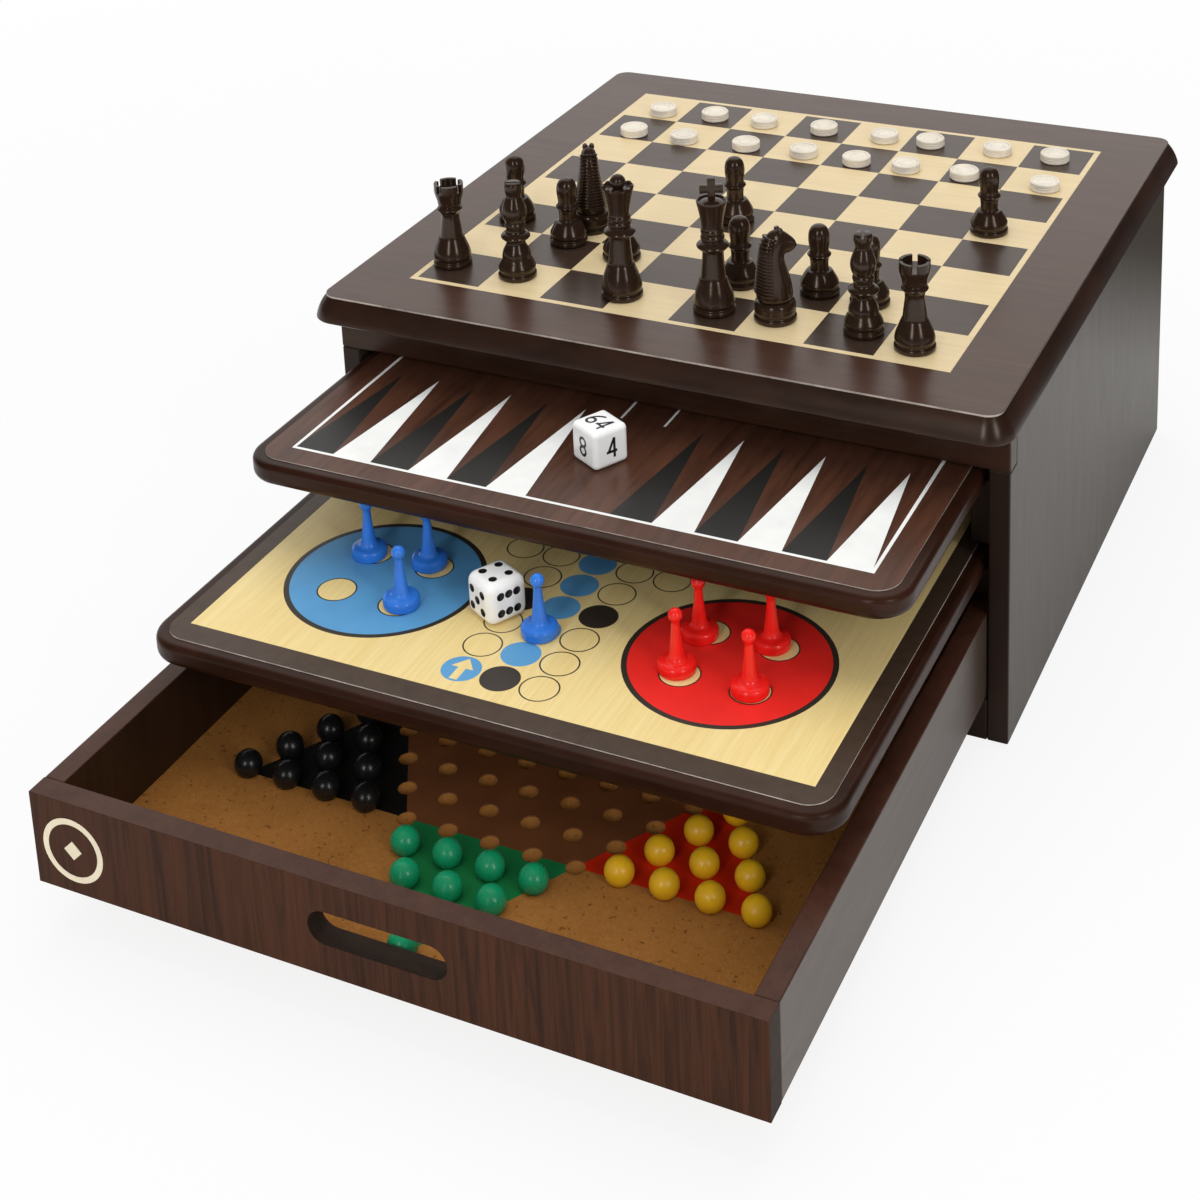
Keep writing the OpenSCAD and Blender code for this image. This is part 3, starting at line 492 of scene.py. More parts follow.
foils = {
    "sideFoil": {
        "dark": (0.044, 0.032, 0.020), "light": (0.055, 0.041, 0.027), "grain": (90, 90, 10),
        "roughness": 0.34, "speck": 0.12, "specular": 0.26, "tint": neutral},
    # a darker copy of the side foil: painted shade on the front-facing faces of the side panels and on the
    # base panel
    "sideFrontFoil": {
        "dark": (0.008, 0.003, 0.002), "light": (0.018, 0.007, 0.004), "grain": (90, 90, 10),
        "roughness": 0.45, "specular": 0.3},
    "railFoil": {
        "dark": (0.022, 0.008, 0.004), "light": (0.040, 0.015, 0.008), "grain": (12, 140, 140),
        "roughness": 0.36, "specular": 0.35},
    "runnerWood": {
        "dark": (0.014, 0.008, 0.006), "light": (0.030, 0.016, 0.012), "grain": (90, 9, 90),
        "roughness": 0.5, "specular": 0.3},
    "walnutFront": {
        "dark": (0.018, 0.008, 0.004), "light": (0.080, 0.026, 0.011), "grain": (62, 62, 7),
        "roughness": 0.45, "streak": 0.9, "speck": 0.42, "specular": 0.12},
    "slotWood": {
        "dark": (0.010, 0.005, 0.003), "light": (0.030, 0.014, 0.008), "grain": (120, 120, 120),
        "roughness": 0.7},
    "rimFoil": {
        "dark": (0.042, 0.014, 0.008), "light": (0.066, 0.025, 0.015), "grain": (70, 70, 70),
        "roughness": 0.36, "specular": 0.3},
    "drawerInside": {
        "dark": (0.012, 0.006, 0.003), "light": (0.032, 0.014, 0.008), "grain": (40, 40, 12),
        "roughness": 0.45},
    "drawerSide": {
        "dark": (0.054, 0.036, 0.027), "light": (0.074, 0.051, 0.039), "grain": (60, 9, 80),
        "roughness": 0.3, "speck": 0.12, "specular": 0.45},
    "chessMaple": {
        "dark": (0.70, 0.545, 0.31), "light": (0.79, 0.63, 0.365), "grain": (12, 210, 60),
        "roughness": 0.36, "streak": 0.9, "speck": 0.12, "specular": 0.4, "tint": neutral},
    "chessDark": {
        "dark": (0.036, 0.021, 0.014), "light": (0.050, 0.030, 0.022), "grain": (14, 160, 60),
        "roughness": 0.3, "coat": 0.1},
    "ludoMaple": {
        "dark": (0.80, 0.585, 0.22), "light": (0.90, 0.73, 0.35), "grain": (230, 12, 60),
        "roughness": 0.36, "streak": 0.8, "speck": 0.14, "specular": 0.4, "tint": neutral},
}

inks = {
    "whiteInk": {"color": (0.88, 0.885, 0.86), "specular": 0.35},
    "pointBlack": {"color": (0.017, 0.016, 0.014), "roughness": 0.34, "specular": 0.3},
    "markBlack": {"color": (0.036, 0.028, 0.020), "roughness": 0.36},
    "markBlue": {"color": (0.105, 0.335, 0.61), "roughness": 0.36, "specular": 0.4},
    "markRed": {"color": (0.82, 0.024, 0.018), "roughness": 0.36, "specular": 0.4},
    "markGreen": {"color": (0.02, 0.28, 0.10), "roughness": 0.36},
    "markYellow": {"color": (0.86, 0.50, 0.03), "roughness": 0.36},
    # not a print: the bare board's centre in a darker, redder tan, painted shade and painted red-brown light
    # thrown from the ludo board above
    "centreSheet": {"color": (0.170, 0.056, 0.018), "roughness": 0.6, "speck": 0.14, "specular": 0.2},
    "starGreen": {"color": (0.010, 0.185, 0.050), "roughness": 0.55, "speck": 0.1, "specular": 0.2},
    "starRed": {"color": (0.62, 0.022, 0.003), "roughness": 0.55, "speck": 0.1, "specular": 0.2},
    "starBlack": {"color": (0.007, 0.006, 0.005), "roughness": 0.55, "speck": 0.1, "specular": 0.15},
    "starBlue": {"color": (0.02, 0.10, 0.35), "roughness": 0.55, "speck": 0.1},
    "starYellow": {"color": (0.70, 0.40, 0.02), "roughness": 0.55, "speck": 0.1},
    "starWhite": {"color": (0.75, 0.73, 0.68), "roughness": 0.55, "speck": 0.1},
    "motifCream": {"color": (0.84, 0.74, 0.54), "roughness": 0.5},
}

plastics = {
    "manBrown": {"color": (0.024, 0.012, 0.007), "roughness": 0.2, "waviness": 0.02, "tint": warm},
    "draughtCream": {"color": (0.78, 0.71, 0.60), "roughness": 0.34},
    "pawnBlue": {"color": (0.03, 0.19, 0.70), "glow": 0.1},
    "pawnRed": {"color": (0.85, 0.014, 0.010), "glow": 0.1},
    "ballBlack": {"color": (0.008, 0.008, 0.008), "roughness": 0.28},
    "ballGreen": {"color": (0.008, 0.31, 0.13), "roughness": 0.28},
    "ballYellow": {"color": (0.90, 0.50, 0.014), "roughness": 0.3},
    "dieWhite": {"color": (0.94, 0.94, 0.93), "roughness": 0.2, "speck": 0.03, "glow": 0.15},
    "pipBlack": {"color": (0.006, 0.006, 0.006), "roughness": 0.3},
}

materials = {"floorMdf": fibreBoard("floorMdf")}
for maker, looks in ((mouldedWood, mouldings), (foilWood, foils), (inkSheet, inks), (moulded, plastics)):
    for name, look in looks.items():
        materials[name] = maker(name, **look)
print("materials made:", len(materials))

paints = {
    "top_panel": "topFoil", "chess_field_light": "chessMaple", "chess_field_dark": "chessDark",
    "front_rail": "railFoil", "side_panel_left": "sideFoil", "side_panel_right": "sideFoil",
    "back_panel": "sideFoil", "base_panel": "sideFoil", "upper_runners": "runnerWood",
    "spacer_runners": "runnerWood", "lower_runners": "runnerWood",
    "backgammon_board": "mahogany", "backgammon_white_print": "whiteInk",
    "backgammon_black_print": "pointBlack", "ludo_board": "ludoBorder", "ludo_field": "ludoMaple",
    "ludo_black_marks": "markBlack", "ludo_blue_marks": "markBlue", "ludo_red_marks": "markRed",
    "ludo_green_marks": "markGreen", "ludo_yellow_marks": "markYellow",
    "ludo_pawns_blue": "pawnBlue", "ludo_pawns_red": "pawnRed", "die": "dieWhite", "die_pips": "pipBlack",
    "drawer_front": "walnutFront", "drawer_back": "drawerInside", "drawer_side_left": "drawerSide",
    # star_centre_sheet carries the painted shade and red-brown light of the bare board's centre
    "drawer_side_right": "drawerSide", "drawer_floor": "floorMdf", "star_centre_sheet": "centreSheet",
    "star_green_sheet": "starGreen", "star_black_sheet": "starBlack", "star_red_sheet": "starRed",
    "star_blue_sheet": "starBlue", "star_yellow_sheet": "starYellow", "star_white_sheet": "starWhite",
    "balls_black": "ballBlack", "balls_green": "ballGreen", "balls_yellow": "ballYellow",
    "drawer_motif": "motifCream", "chess_king": "manBrown", "chess_queen": "manBrown",
    "chess_bishops": "manBrown", "chess_knights": "manBrown", "chess_rooks": "manBrown",
    "chess_pawns": "manBrown", "draughts": "draughtCream", "doubling_cube": "dieWhite",
    "doubling_cube_numbers": "pipBlack",
}
for node, name in paints.items():
    slots = nodes[node].data.materials
    slots.clear()
    slots.append(materials[name])


# turned men; profiles are radius and height, collars are inner and outer radius, mid height and thickness
def footLine(r):
    return [(r - 0.5, 0), (r, 0.6), (r, 1.9), (r - 0.5, 2.5), (r - 0.6, 2.9), (r - 0.25, 3.9), (r - 0.3, 5)]


def collarLine(inner, r, z, h):
    lip, slope = 0.25 * h, 0.32 * h
    return [(inner, z - h / 2), (r - lip, z - slope), (r, z), (r - lip, z + slope), (inner, z + h / 2)]


def manLine(man):
    return footLine(man["foot"]) + man["stem"] + collarLine(*man["collar"]) + man["head"]


def turnedMan(name, line, crown=(), steps=64):
    return turnOnLathe(name, [(0, 0)] + smoothLine(line) + list(crown), steps)


def handMan(piece, node, places):
    standing = placeCopies(piece, node + "Turned", places, playFaces["top"])
    smooth(standing, 38)
    hand(standing, "chess_men", node, ["manBrown"])


pawn = {
    "foot": 7.8,
    "stem": [(6.9, 6.4), (6, 8), (5.2, 9.3), (4.75, 9.75), (3.8, 10), (3.55, 11.2), (3.6, 13.4)],
    "collar": (3.8, 4.7, 16.2, 3.4),
    "head": [(3.7, 18.4), (4, 20.4), (4.2, 22.6), (4.1, 24.6), (3.5, 26.6), (2.2, 28), (0, 28.5)],
    "places": [(-99.9, -44.1), (-68, -58.6), (-40.8, -64.8), (-11.9, -14),
               (13.6, -70), (45.5, -66.7), (66.9, -69.1), (90.4, 11.2)],
}


def makePawns():
    handMan(turnedMan("pawn", manLine(pawn)), "chess_pawns", pawn["places"])


rook = {
    "foot": 7.8,
    "stem": [(7, 7), (5.9, 9.8), (5, 12), (4.65, 12.5), (4.2, 16), (3.7, 20), (3.75, 22)],
    "collar": (4.1, 5.1, 24.3, 2.6),
    "head": [(4.6, 26), (4.9, 28), (5.6, 30.4), (5.85, 31.6)],
    "crown": [(5.9, 32), (4.6, 32), (0, 31.4)],
    "ledge": 32, "wall": (4.65, 5.85), "top": 35, "notchHalf": 13.5,  # notchHalf is in degrees
    "places": [(-103, -93.6, 77), (94.7, -98.7, 17)],
}


def makeRooks():
    piece = turnedMan("rook", manLine(rook), rook["crown"])
    inner, outer = rook["wall"]
    notch = rook["notchHalf"]

    def onMerlon(centre, normal):
        onLedge = normal.z > 0.9 and centre.z > (rook["ledge"] - 0.1) * mm
        onWall = inner * mm < math.hypot(centre.x, centre.y) < outer * mm
        angle = math.degrees(math.atan2(centre.y, centre.x)) % 90
        return onLedge and onWall and notch < angle < 90 - notch

    pickFaces(piece, onMerlon)
    rise = (rook["top"] - rook["ledge"]) * mm
    bpy.ops.mesh.extrude_region_move(TRANSFORM_OT_translate={"value": (0, 0, rise)})
    endEdit()
    handMan(piece, "chess_rooks", rook["places"])


bishop = {
    "foot": 7.7,
    "stem": [(6.7, 6.6), (6.1, 7.6), (5.75, 8.4), (5.7, 9.8), (5.2, 11.6), (4.2, 13.6), (3.8, 14.8)],
    "collar": (4, 5.9, 17.5, 3.6),
    "head": [(3.7, 20.6), (4.1, 21.8), (4.1, 22.8), (3.8, 23.6), (4.5, 25.2), (4.9, 27.2), (4.7, 29.4),
             (3.7, 32.4), (3, 34.4), (3.2, 35.6), (3.6, 37.6), (3.45, 39.5), (2.9, 40.1)],
    "top": 40.2, "saw": (10, 1.1, 2), "sawBelow": 0.2,
    "places": [(-72.6, -94.9, 25), (72.9, -93.1, 108)],
}


def makeBishops():
    piece = turnedMan("bishop", manLine(bishop), [(0, bishop["top"])])
    deselectAll()
    bpy.ops.mesh.primitive_cube_add(size=1, location=(0, 0, (bishop["top"] - bishop["sawBelow"]) * mm))
    saw = bpy.context.object
    bpy.ops.transform.resize(value=[side * mm for side in bishop["saw"]])
    applyPlace(saw)
    cutAway(piece, saw)
    handMan(piece, "chess_bishops", bishop["places"])


royal = {  # what king and queen share
    "foot": 8.25,
    "stem": [(7.2, 8.2), (6.2, 11.2), (5.3, 13.8), (4.85, 14.5), (4.5, 18), (4.2, 22), (4.1, 24.8)],
    "collar": (4.3, 6.3, 27.2, 3.8),
    "head": [(4.2, 29.5), (4.6, 30.1), (4.6, 31), (4.2, 31.7), (4.5, 32.5), (4.5, 33.5), (4.1, 34.3)],
}

king = {
    "cup": [(4.4, 37.4), (5.1, 41.4), (5.8, 44.5)],
    "crown": [(5.95, 45), (5.9, 45.4), (5.4, 45.6), (4.9, 44.9), (3.4, 45.5), (1.8, 45.9), (0, 46)],
    "crossAt": 50.2, "crossW": 2.8, "up": 2.9, "aside": 3.1, "down": 4.2, "flare": 1.2, "ease": 0.35,
    "places": [(13.4, -95.7, 27)],
}


def makeCross():
    deselectAll()
    bpy.ops.mesh.primitive_cube_add(size=king["crossW"] * mm, location=(0, 0, king["crossAt"] * mm))
    cross = bpy.context.object
    applyPlace(cross)
    low, high = (king["crossAt"] - 1.2) * mm, (king["crossAt"] + 1.8) * mm  # the side arms' faces lie between
    for side, reach in (((0, 0, 1), king["up"]), ((1, 0, 0), king["aside"]), ((-1, 0, 0), king["aside"])):
        side = Vector(side)
        pickFaces(cross, lambda centre, normal: normal.dot(side) > 0.9 and centre.z > low
                  and (side.z > 0 or centre.z < high))
        bpy.ops.mesh.extrude_region_move(TRANSFORM_OT_translate={"value": side * reach * mm})
        flareX, flareZ = (1.0, king["flare"]) if side.x else (king["flare"], 1.0)
        bpy.ops.transform.resize(value=(flareX, 1.0, flareZ))
    pickFaces(cross, lambda centre, normal: normal.z < -0.9 and abs(centre.x) < 1 * mm)
    bpy.ops.mesh.extrude_region_move(TRANSFORM_OT_translate={"value": (0, 0, -king["down"] * mm)})
    bpy.ops.mesh.select_all(action="SELECT")
    bpy.ops.mesh.bevel(offset=king["ease"] * mm, segments=2)
    endEdit()
    return cross


def makeKing():
    piece = turnedMan("king", manLine(royal) + king["cup"], king["crown"])
    pickSeveral([makeCross(), piece], piece)
    bpy.ops.object.join()
    handMan(piece, "chess_king", king["places"])


queen = {
    "cup": [(4.4, 37), (5.2, 41.4), (6, 44.8)],
    "rim": 46.2, "crown": [(6.2, 45.7), (6.2, 46.2), (5.4, 46.2), (4.7, 44.9), (2.4, 45)],
    "ball": 3.1, "ballAbove": 1.4, "ballSteps": range(-50, 90, 20),
    "points": 8, "steps": 64, "drops": (1.5, 1.1, 0.4),  # from the middle of a valley outwards
    "places": [(-25.6, -96.3, 0)],
}


def ballLine(r, centre, angles):
    return [(r * math.cos(a), centre + r * math.sin(a)) for a in map(math.radians, angles)]


def makeQueen():
    rim, centre = queen["rim"], queen["rim"] + queen["ballAbove"]
    ball = ballLine(queen["ball"], centre, queen["ballSteps"]) + [(0, centre + queen["ball"])]
    piece = turnedMan("queen", manLine(royal) + queen["cup"], queen["crown"] + ball, queen["steps"])
    perPoint = queen["steps"] // queen["points"]
    for away, drop in enumerate(queen["drops"]):
        def inValley(co):
            step = round(math.degrees(math.atan2(co.y, co.x)) / (360 / queen["steps"])) % perPoint
            onRim = co.z > (rim - 0.2) * mm and math.hypot(co.x, co.y) > 5.2 * mm
            return onRim and min(step, perPoint - step) == away

        pickVerts(piece, inValley)
        bpy.ops.transform.translate(value=(0, 0, -drop * mm))
        endEdit()
    handMan(piece, "chess_queen", queen["places"])


# knights: a horse's head lofted over a turned foot, with a ridged mane
knight = {
    "foot": 8.2, "footTop": [(7.9, 6.6), (7.5, 7.7)], "footCap": [(6.8, 8.3), (5.4, 8.6), (0, 8.6)],
    "rings": [  # back x, back z, front x, front z, half width
        (-7.4, 7.4, 7.2, 7.4, 7.2), (-7.4, 11, 7.1, 11.6, 7.0), (-7.1, 16, 6.2, 17, 6.2),
        (-6.7, 21, 4.8, 21.6, 5.3), (-6.2, 26, 3.9, 24.6, 4.5), (-5.4, 30.6, 4.0, 26.0, 4.1),
        (-3.6, 34.4, 4.7, 26.2, 3.8), (-0.6, 36.6, 5.8, 26.0, 3.4), (2.6, 36.4, 7.0, 26.2, 3.0),
        (5.6, 34.2, 8.3, 26.9, 2.7), (7.8, 32.0, 9.1, 28.0, 2.2),
    ],
    "sides": 20, "noseInset": 0.5, "nosePush": (0.35, 0, -0.1), "roundLevels": 2,
    "ridges": 17, "ridgeSpan": (12.0, 33.4), "ridgeThick": 0.9, "ridgeEase": 0.4, "ridgeInset": 0.4,
    "ridgeReach": (0.55, 1.15, 6.2), "ridgeProud": 0.5, "ridgeHalf": (0.86, 0.35), "ridgeTurn": (27, 3.2),
    "earAt": (2.0, 1.4, 36.2), "earR": (1.3, 0.85), "earH": 1.4, "earLean": 0.2,
    "places": [(37.9, -94.3, 50), (-65.4, -42.5, 117)],
}


def loftHead():
    sides = knight["sides"]
    rings = []
    for backX, backZ, frontX, frontZ, half in knight["rings"]:
        deselectAll()
        centre = Vector(((backX + frontX) / 2, 0, (backZ + frontZ) / 2)) * mm
        span = Vector((frontX - backX, 0, frontZ - backZ)) * mm
        bpy.ops.mesh.primitive_circle_add(vertices=sides, radius=1, location=centre,
                                          rotation=(0, math.atan2(-span.z, span.x), 0))
        ring = bpy.context.object
        ring.scale = (span.length / 2, half * mm, 1)
        applyPlace(ring)
        rings.append(ring)
    head, last = rings[0], len(rings) - 1
    pickSeveral(rings, head)
    bpy.ops.object.join()
    head.name = "horseHead"
    for i in range(last):
        def inPair(points):
            rows = {v // sides for v in points}
            return len(rows) == 1 and rows <= {i, i + 1}

        pickEdges(head, inPair)
        bpy.ops.mesh.bridge_edge_loops()
    for row in (0, last):
        pickEdges(head, lambda points: all(v // sides == row for v in points))
        bpy.ops.mesh.edge_face_add()
    bpy.ops.mesh.inset(thickness=knight["noseInset"] * mm)
    bpy.ops.transform.translate(value=Vector(knight["nosePush"]) * mm)
    endEdit()
    tidyNormals(head)
    rounding = head.modifiers.new("round", "SUBSURF")
    rounding.levels = rounding.render_levels = knight["roundLevels"]
    applyAll(head)
    return head


def maneRidge(z):
    # a thin oval plate that stands a little proud of the back of the neck at this height
    rows = knight["rings"]
    above = next(i for i in range(1, len(rows)) if rows[i][1] >= z)
    low, high = rows[above - 1], rows[above]
    t = (z - low[1]) / (high[1] - low[1])
    back, half = (low[k] + (high[k] - low[k]) * t for k in (0, 4))
    share, wider, most = knight["ridgeReach"]
    reach = share * min(half * wider, most)
    halfShare, halfMore = knight["ridgeHalf"]
    turnFrom, turnRate = knight["ridgeTurn"]  # from this height up, the degrees for each mm
    deselectAll()
    bpy.ops.mesh.primitive_cylinder_add(vertices=28, radius=1, depth=knight["ridgeThick"] * mm,
                                        location=((back + reach) * mm, 0, z * mm))
    ridge = bpy.context.object
    ridge.scale = ((reach + knight["ridgeProud"]) * mm, (halfShare * half + halfMore) * mm, 1)
    ridge.rotation_euler = (0, math.radians(max(0.0, z - turnFrom) * turnRate), 0)
    applyPlace(ridge)
    pickFaces(ridge, lambda centre, normal: abs(normal.z) > 0.7)
    bpy.ops.mesh.inset(thickness=knight["ridgeInset"] * mm)
    endEdit()
    easeEdges(ridge, knight["ridgeEase"], 30)
    return ridge


def horseEar(side):
    x, y, z = knight["earAt"]
    wide, narrow = knight["earR"]
    lean = knight["earLean"]
    deselectAll()
    bpy.ops.mesh.primitive_cone_add(vertices=12, radius1=wide * mm, radius2=narrow * mm,
                                    depth=knight["earH"] * mm, location=(x * mm, side * y * mm, z * mm),
                                    rotation=(side * -lean, -lean, 0))
    ear = bpy.context.object
    applyPlace(ear)
    return ear


def makeKnights():
    head = loftHead()
    foot = turnedMan("knightFoot", footLine(knight["foot"]) + knight["footTop"], knight["footCap"])
    low, high = knight["ridgeSpan"]
    pitch = (high - low) / (knight["ridges"] - 1)
    ridges = [maneRidge(low + pitch * i) for i in range(knight["ridges"])]
    ears = [horseEar(side) for side in (-1, 1)]
    pickSeveral([head, foot] + ridges + ears, head)
    bpy.ops.object.join()
    handMan(head, "chess_knights", knight["places"])


# pieces on the ludo board, and the draughts on the top
ludoPawn = {
    "tall": 23.4, "footR": 6.6, "footH": 4.4, "ball": 2.45, "steps": 40,
    "blue": [(-80.8, -201.9), (-56.8, -199.5), (-53, -225.4), (0.6, -222.8)],
    "red": [(52.8, -224), (52.1, -203.4), (77.1, -199.7), (79.9, -226.1)],
}


def makeLudoPawns():
    foot, footH, ball, top = (ludoPawn[key] for key in ("footR", "footH", "ball", "tall"))
    line = [(foot - 0.5, 0), (foot - 0.1, 0.5), (foot, 1.6), (foot, footH - 1.4), (foot - 0.4, footH - 0.5),
            (foot - 1.3, footH)]
    stem = smoothLine([(4.0, footH + 0.05), (3.3, footH + 0.5), (2.75, footH + 1.7), (2.2, 10), (1.75, 14),
                       (1.4, top - 2 * ball + 0.3)])
    knob = ballLine(ball, top - ball, range(-50, 90, 14)) + [(0, top)]
    for color, finish in (("blue", "pawnBlue"), ("red", "pawnRed")):
        node = "ludo_pawns_" + color
        piece = turnedMan(color + "Pawn", line, stem + knob, ludoPawn["steps"])
        piece = placeCopies(piece, node + "Turned", ludoPawn[color], playFaces["ludo"])
        smooth(piece, 40)
        hand(piece, "ludo_board", node, [finish])


draught = {
    "radius": 6.35, "tall": 4, "dish": 0.6, "groove": 0.12, "bead": 0.22, "steps": 48,
    "places": [(-92.6, 89.9), (-67, 92.6), (-41.8, 92.4), (-12.4, 93.3), (17.1, 93.1), (38.6, 94.2),
               (69.7, 94.9), (95.8, 95.4), (-94.6, 61.3), (-69, 61), (-38.8, 62.5), (-11.1, 63.4),
               (14.5, 62.4), (37.5, 62.6), (64.1, 63), (100, 62.8)],
}


def makeDraughts():
    r, h, dish, groove = (draught[key] for key in ("radius", "tall", "dish", "groove"))
    floor = h - dish
    line = [(0, dish), (4.9, dish), (5.25, 0), (5.85, 0), (r, 0.45), (r, 1.2)]
    line += [(r - groove, 1.4), (r - groove, 1.7), (r, 1.9), (r, 2.1), (r - groove, 2.3), (r - groove, 2.6)]
    line += [(r, 2.8), (r, h - 0.45), (5.9, h), (5.3, h), (4.9, floor), (3.4, floor),
             (3.15, floor + draught["bead"]), (2.9, floor), (0, floor)]
    piece = turnOnLathe("draught", line, draught["steps"])
    piece = placeCopies(piece, "draughtsTurned", draught["places"], playFaces["top"])
    smooth(piece, 28)
    hand(piece, "draughts", "draughts", ["draughtCream"])


die = {
    "place": (-19.2, -216.6, -29), "width": 16, "edge": 3.5, "edgeSteps": 8,
    "pipR": 1.55, "pipGap": 3.3, "drillRise": 1.0,
    "pips": {1: [(0, 0)], 2: [(-1, -1), (1, 1)], 3: [(-1, -1), (0, 0), (1, 1)],
             4: [(-1, -1), (1, -1), (-1, 1), (1, 1)], 5: [(-1, -1), (1, -1), (-1, 1), (1, 1), (0, 0)],
             6: [(-1, -1), (0, -1), (1, -1), (-1, 1), (0, 1), (1, 1)]},
    # pips of each side, tip about X and spin about Z in degrees from the upper side
    "sides": ((4, 0, 0), (3, 180, 0), (5, 90, 0), (2, 90, 180), (6, 90, 90), (1, 90, -90)),
}


def drillSpots():
    height = die["width"] / 2 + die["drillRise"]
    spots = []
    for number, tip, spin in die["sides"]:
        turn = Matrix.Rotation(math.radians(spin), 4, "Z") @ Matrix.Rotation(math.radians(tip), 4, "X")
        for x, y in die["pips"][number]:
            spots.append(turn @ (Vector((x * die["pipGap"], y * die["pipGap"], height)) * mm))
    return spots


def makeDie():
    width = die["width"] * mm
    deselectAll()
    bpy.ops.mesh.primitive_cube_add(size=width, location=(0, 0, 0))
    block = bpy.context.object
    block.name = "dieCut"
    startEdit(block)
    bpy.ops.mesh.select_all(action="SELECT")
    bpy.ops.mesh.bevel(offset=die["edge"] * mm, segments=die["edgeSteps"], profile=0.5)
    endEdit()
    drillR = math.hypot(die["pipR"], die["drillRise"]) * mm
    spots = drillSpots()
    drills = []
    for spot in spots:
        deselectAll()
        bpy.ops.mesh.primitive_uv_sphere_add(segments=20, ring_count=12, location=spot, radius=drillR)
        drills.append(bpy.context.object)
        applyPlace(drills[-1])
    pickSeveral(drills, drills[0])
    bpy.ops.object.join()
    cutAway(block, drills[0])
    block.data.materials.clear()
    block.data.materials.append(materials["dieWhite"])
    block.data.materials.append(materials["pipBlack"])
    for face in block.data.polygons:  # a pip's faces are sunk and lie on a drill
        sunk = max(abs(c) for c in face.center) < width / 2 - 0.02 * mm
        onDrill = any((face.center - spot).length < 1.01 * drillR for spot in spots)
        face.material_index = 1 if sunk and onDrill else 0
    piece = placeCopies(block, "dieDrilled", [die["place"]], playFaces["ludo"] + die["width"] / 2)
    smooth(piece, 35)
    hand(piece, "ludo_board", "die", ["dieWhite", "pipBlack"])
    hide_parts("die_pips")


# square-edged wooden parts get eased edges, and foil that differs by face
easing = {"sameSpot": 0.01, "flatWithin": 1, "sharpFrom": 40, "smoothTo": 50}  # mm, then degrees

woodwork = {  # body, slot, width of the eased edge and finishes
    "top_panel": ("cabinet", "top_wood", 0.15, ["topFoil"]),
    "front_rail": ("cabinet", "rail_wood", 0.6, ["railFoil"]),
    "side_panel_left": ("cabinet", "side_wood", 0.7, ["sideFoil", "sideFrontFoil"]),
    "side_panel_right": ("cabinet", "side_wood", 0.7, ["sideFoil", "sideFrontFoil"]),
    "base_panel": ("cabinet", "side_wood", 0.6, ["sideFrontFoil"]),
    "upper_runners": ("cabinet", "runner_wood", 0.5, ["runnerWood"]),
    "spacer_runners": ("cabinet", "runner_wood", 0.5, ["runnerWood"]),
    "lower_runners": ("cabinet", "runner_wood", 0.5, ["runnerWood"]),
    "drawer_front": ("drawer", "drawer_front_wood", 0.5,
                     ["walnutFront", "rimFoil", "slotWood", "drawerInside"]),
    "drawer_side_left": ("drawer", "drawer_side_wood", 0.6, ["drawerSide", "rimFoil", "drawerInside"]),
    "drawer_side_right": ("drawer", "drawer_side_wood", 0.6, ["drawerSide", "rimFoil", "drawerInside"]),
    "drawer_back": ("drawer", "drawer_side_wood", 0.6, ["drawerInside"]),
}


def softened(node, width, name):
    # a copy of a square-edged solid with its edges eased and its flat faces kept flat
    piece = bpy.data.objects.new(name, nodes[node].data.copy())
    bpy.context.scene.collection.objects.link(piece)
    pickOnly(piece)
    bpy.ops.mesh.customdata_custom_splitnormals_clear()
    startEdit(piece)
    bpy.ops.mesh.select_all(action="SELECT")
    bpy.ops.mesh.remove_doubles(threshold=easing["sameSpot"] * mm)
    bpy.ops.mesh.dissolve_limited(angle_limit=math.radians(easing["flatWithin"]))
    endEdit()
    easeEdges(piece, width, easing["sharpFrom"])
    smooth(piece, easing["smoothTo"])
    flat = piece.modifiers.new("flat", "WEIGHTED_NORMAL")
    flat.keep_sharp = True
    applyAll(piece)
    return piece


# front-facing faces take the side foil's darker copy, which is painted shade
def panelShadedFront(centre, normal):
    return 1 if normal.y < -0.5 else 0


def drawerFrontFinish(centre, normal):
    # the face, its rim, the hand slot's inside and the drawer's inside
    if normal.y < -0.5 and centre.y < -335:
        return 0
    if normal.y > 0.5:
        return 3
    return 1 if normal.z > 0.5 and centre.z > 50 else 2


def drawerSideFinish(centre, normal):
    # outside, rim and the rest
    if normal.z > 0.5:
        return 1
    return 0 if normal.x * centre.x > 0 and abs(normal.x) > 0.5 else 2


choosers = {
    "side_panel_left": panelShadedFront, "side_panel_right": panelShadedFront, "drawer_front": drawerFrontFinish,
    "drawer_side_left": drawerSideFinish, "drawer_side_right": drawerSideFinish,
}


def dressWood(node):
    body, slot, width, finishes = woodwork[node]
    piece = softened(node, width, node + "Eased")
    if node in choosers:
        for face in piece.data.polygons:
            face.material_index = choosers[node](face.center / mm, face.normal)
    hand(piece, body, node, finishes)


makePawns()
makeRooks()
makeBishops()
makeKing()
makeQueen()
makeKnights()
print("chess men turned and carved")
makeLudoPawns()
makeDie()
makeDraughts()
print("ludo pawns, die and draughts made")
for node in woodwork:
    dressWood(node)
print("wooden parts eased")


# camera, floor and lights, in metres and degrees
view = {
    "place": (0.32638, -0.80042, 0.51275), "azimuth": 25.334, "elevation": 15.621, "roll": 2.070,
    "lens": 65.92, "sensor": 36, "shiftX": -0.0431, "shiftY": -0.57, "nearest": 0.01,
}


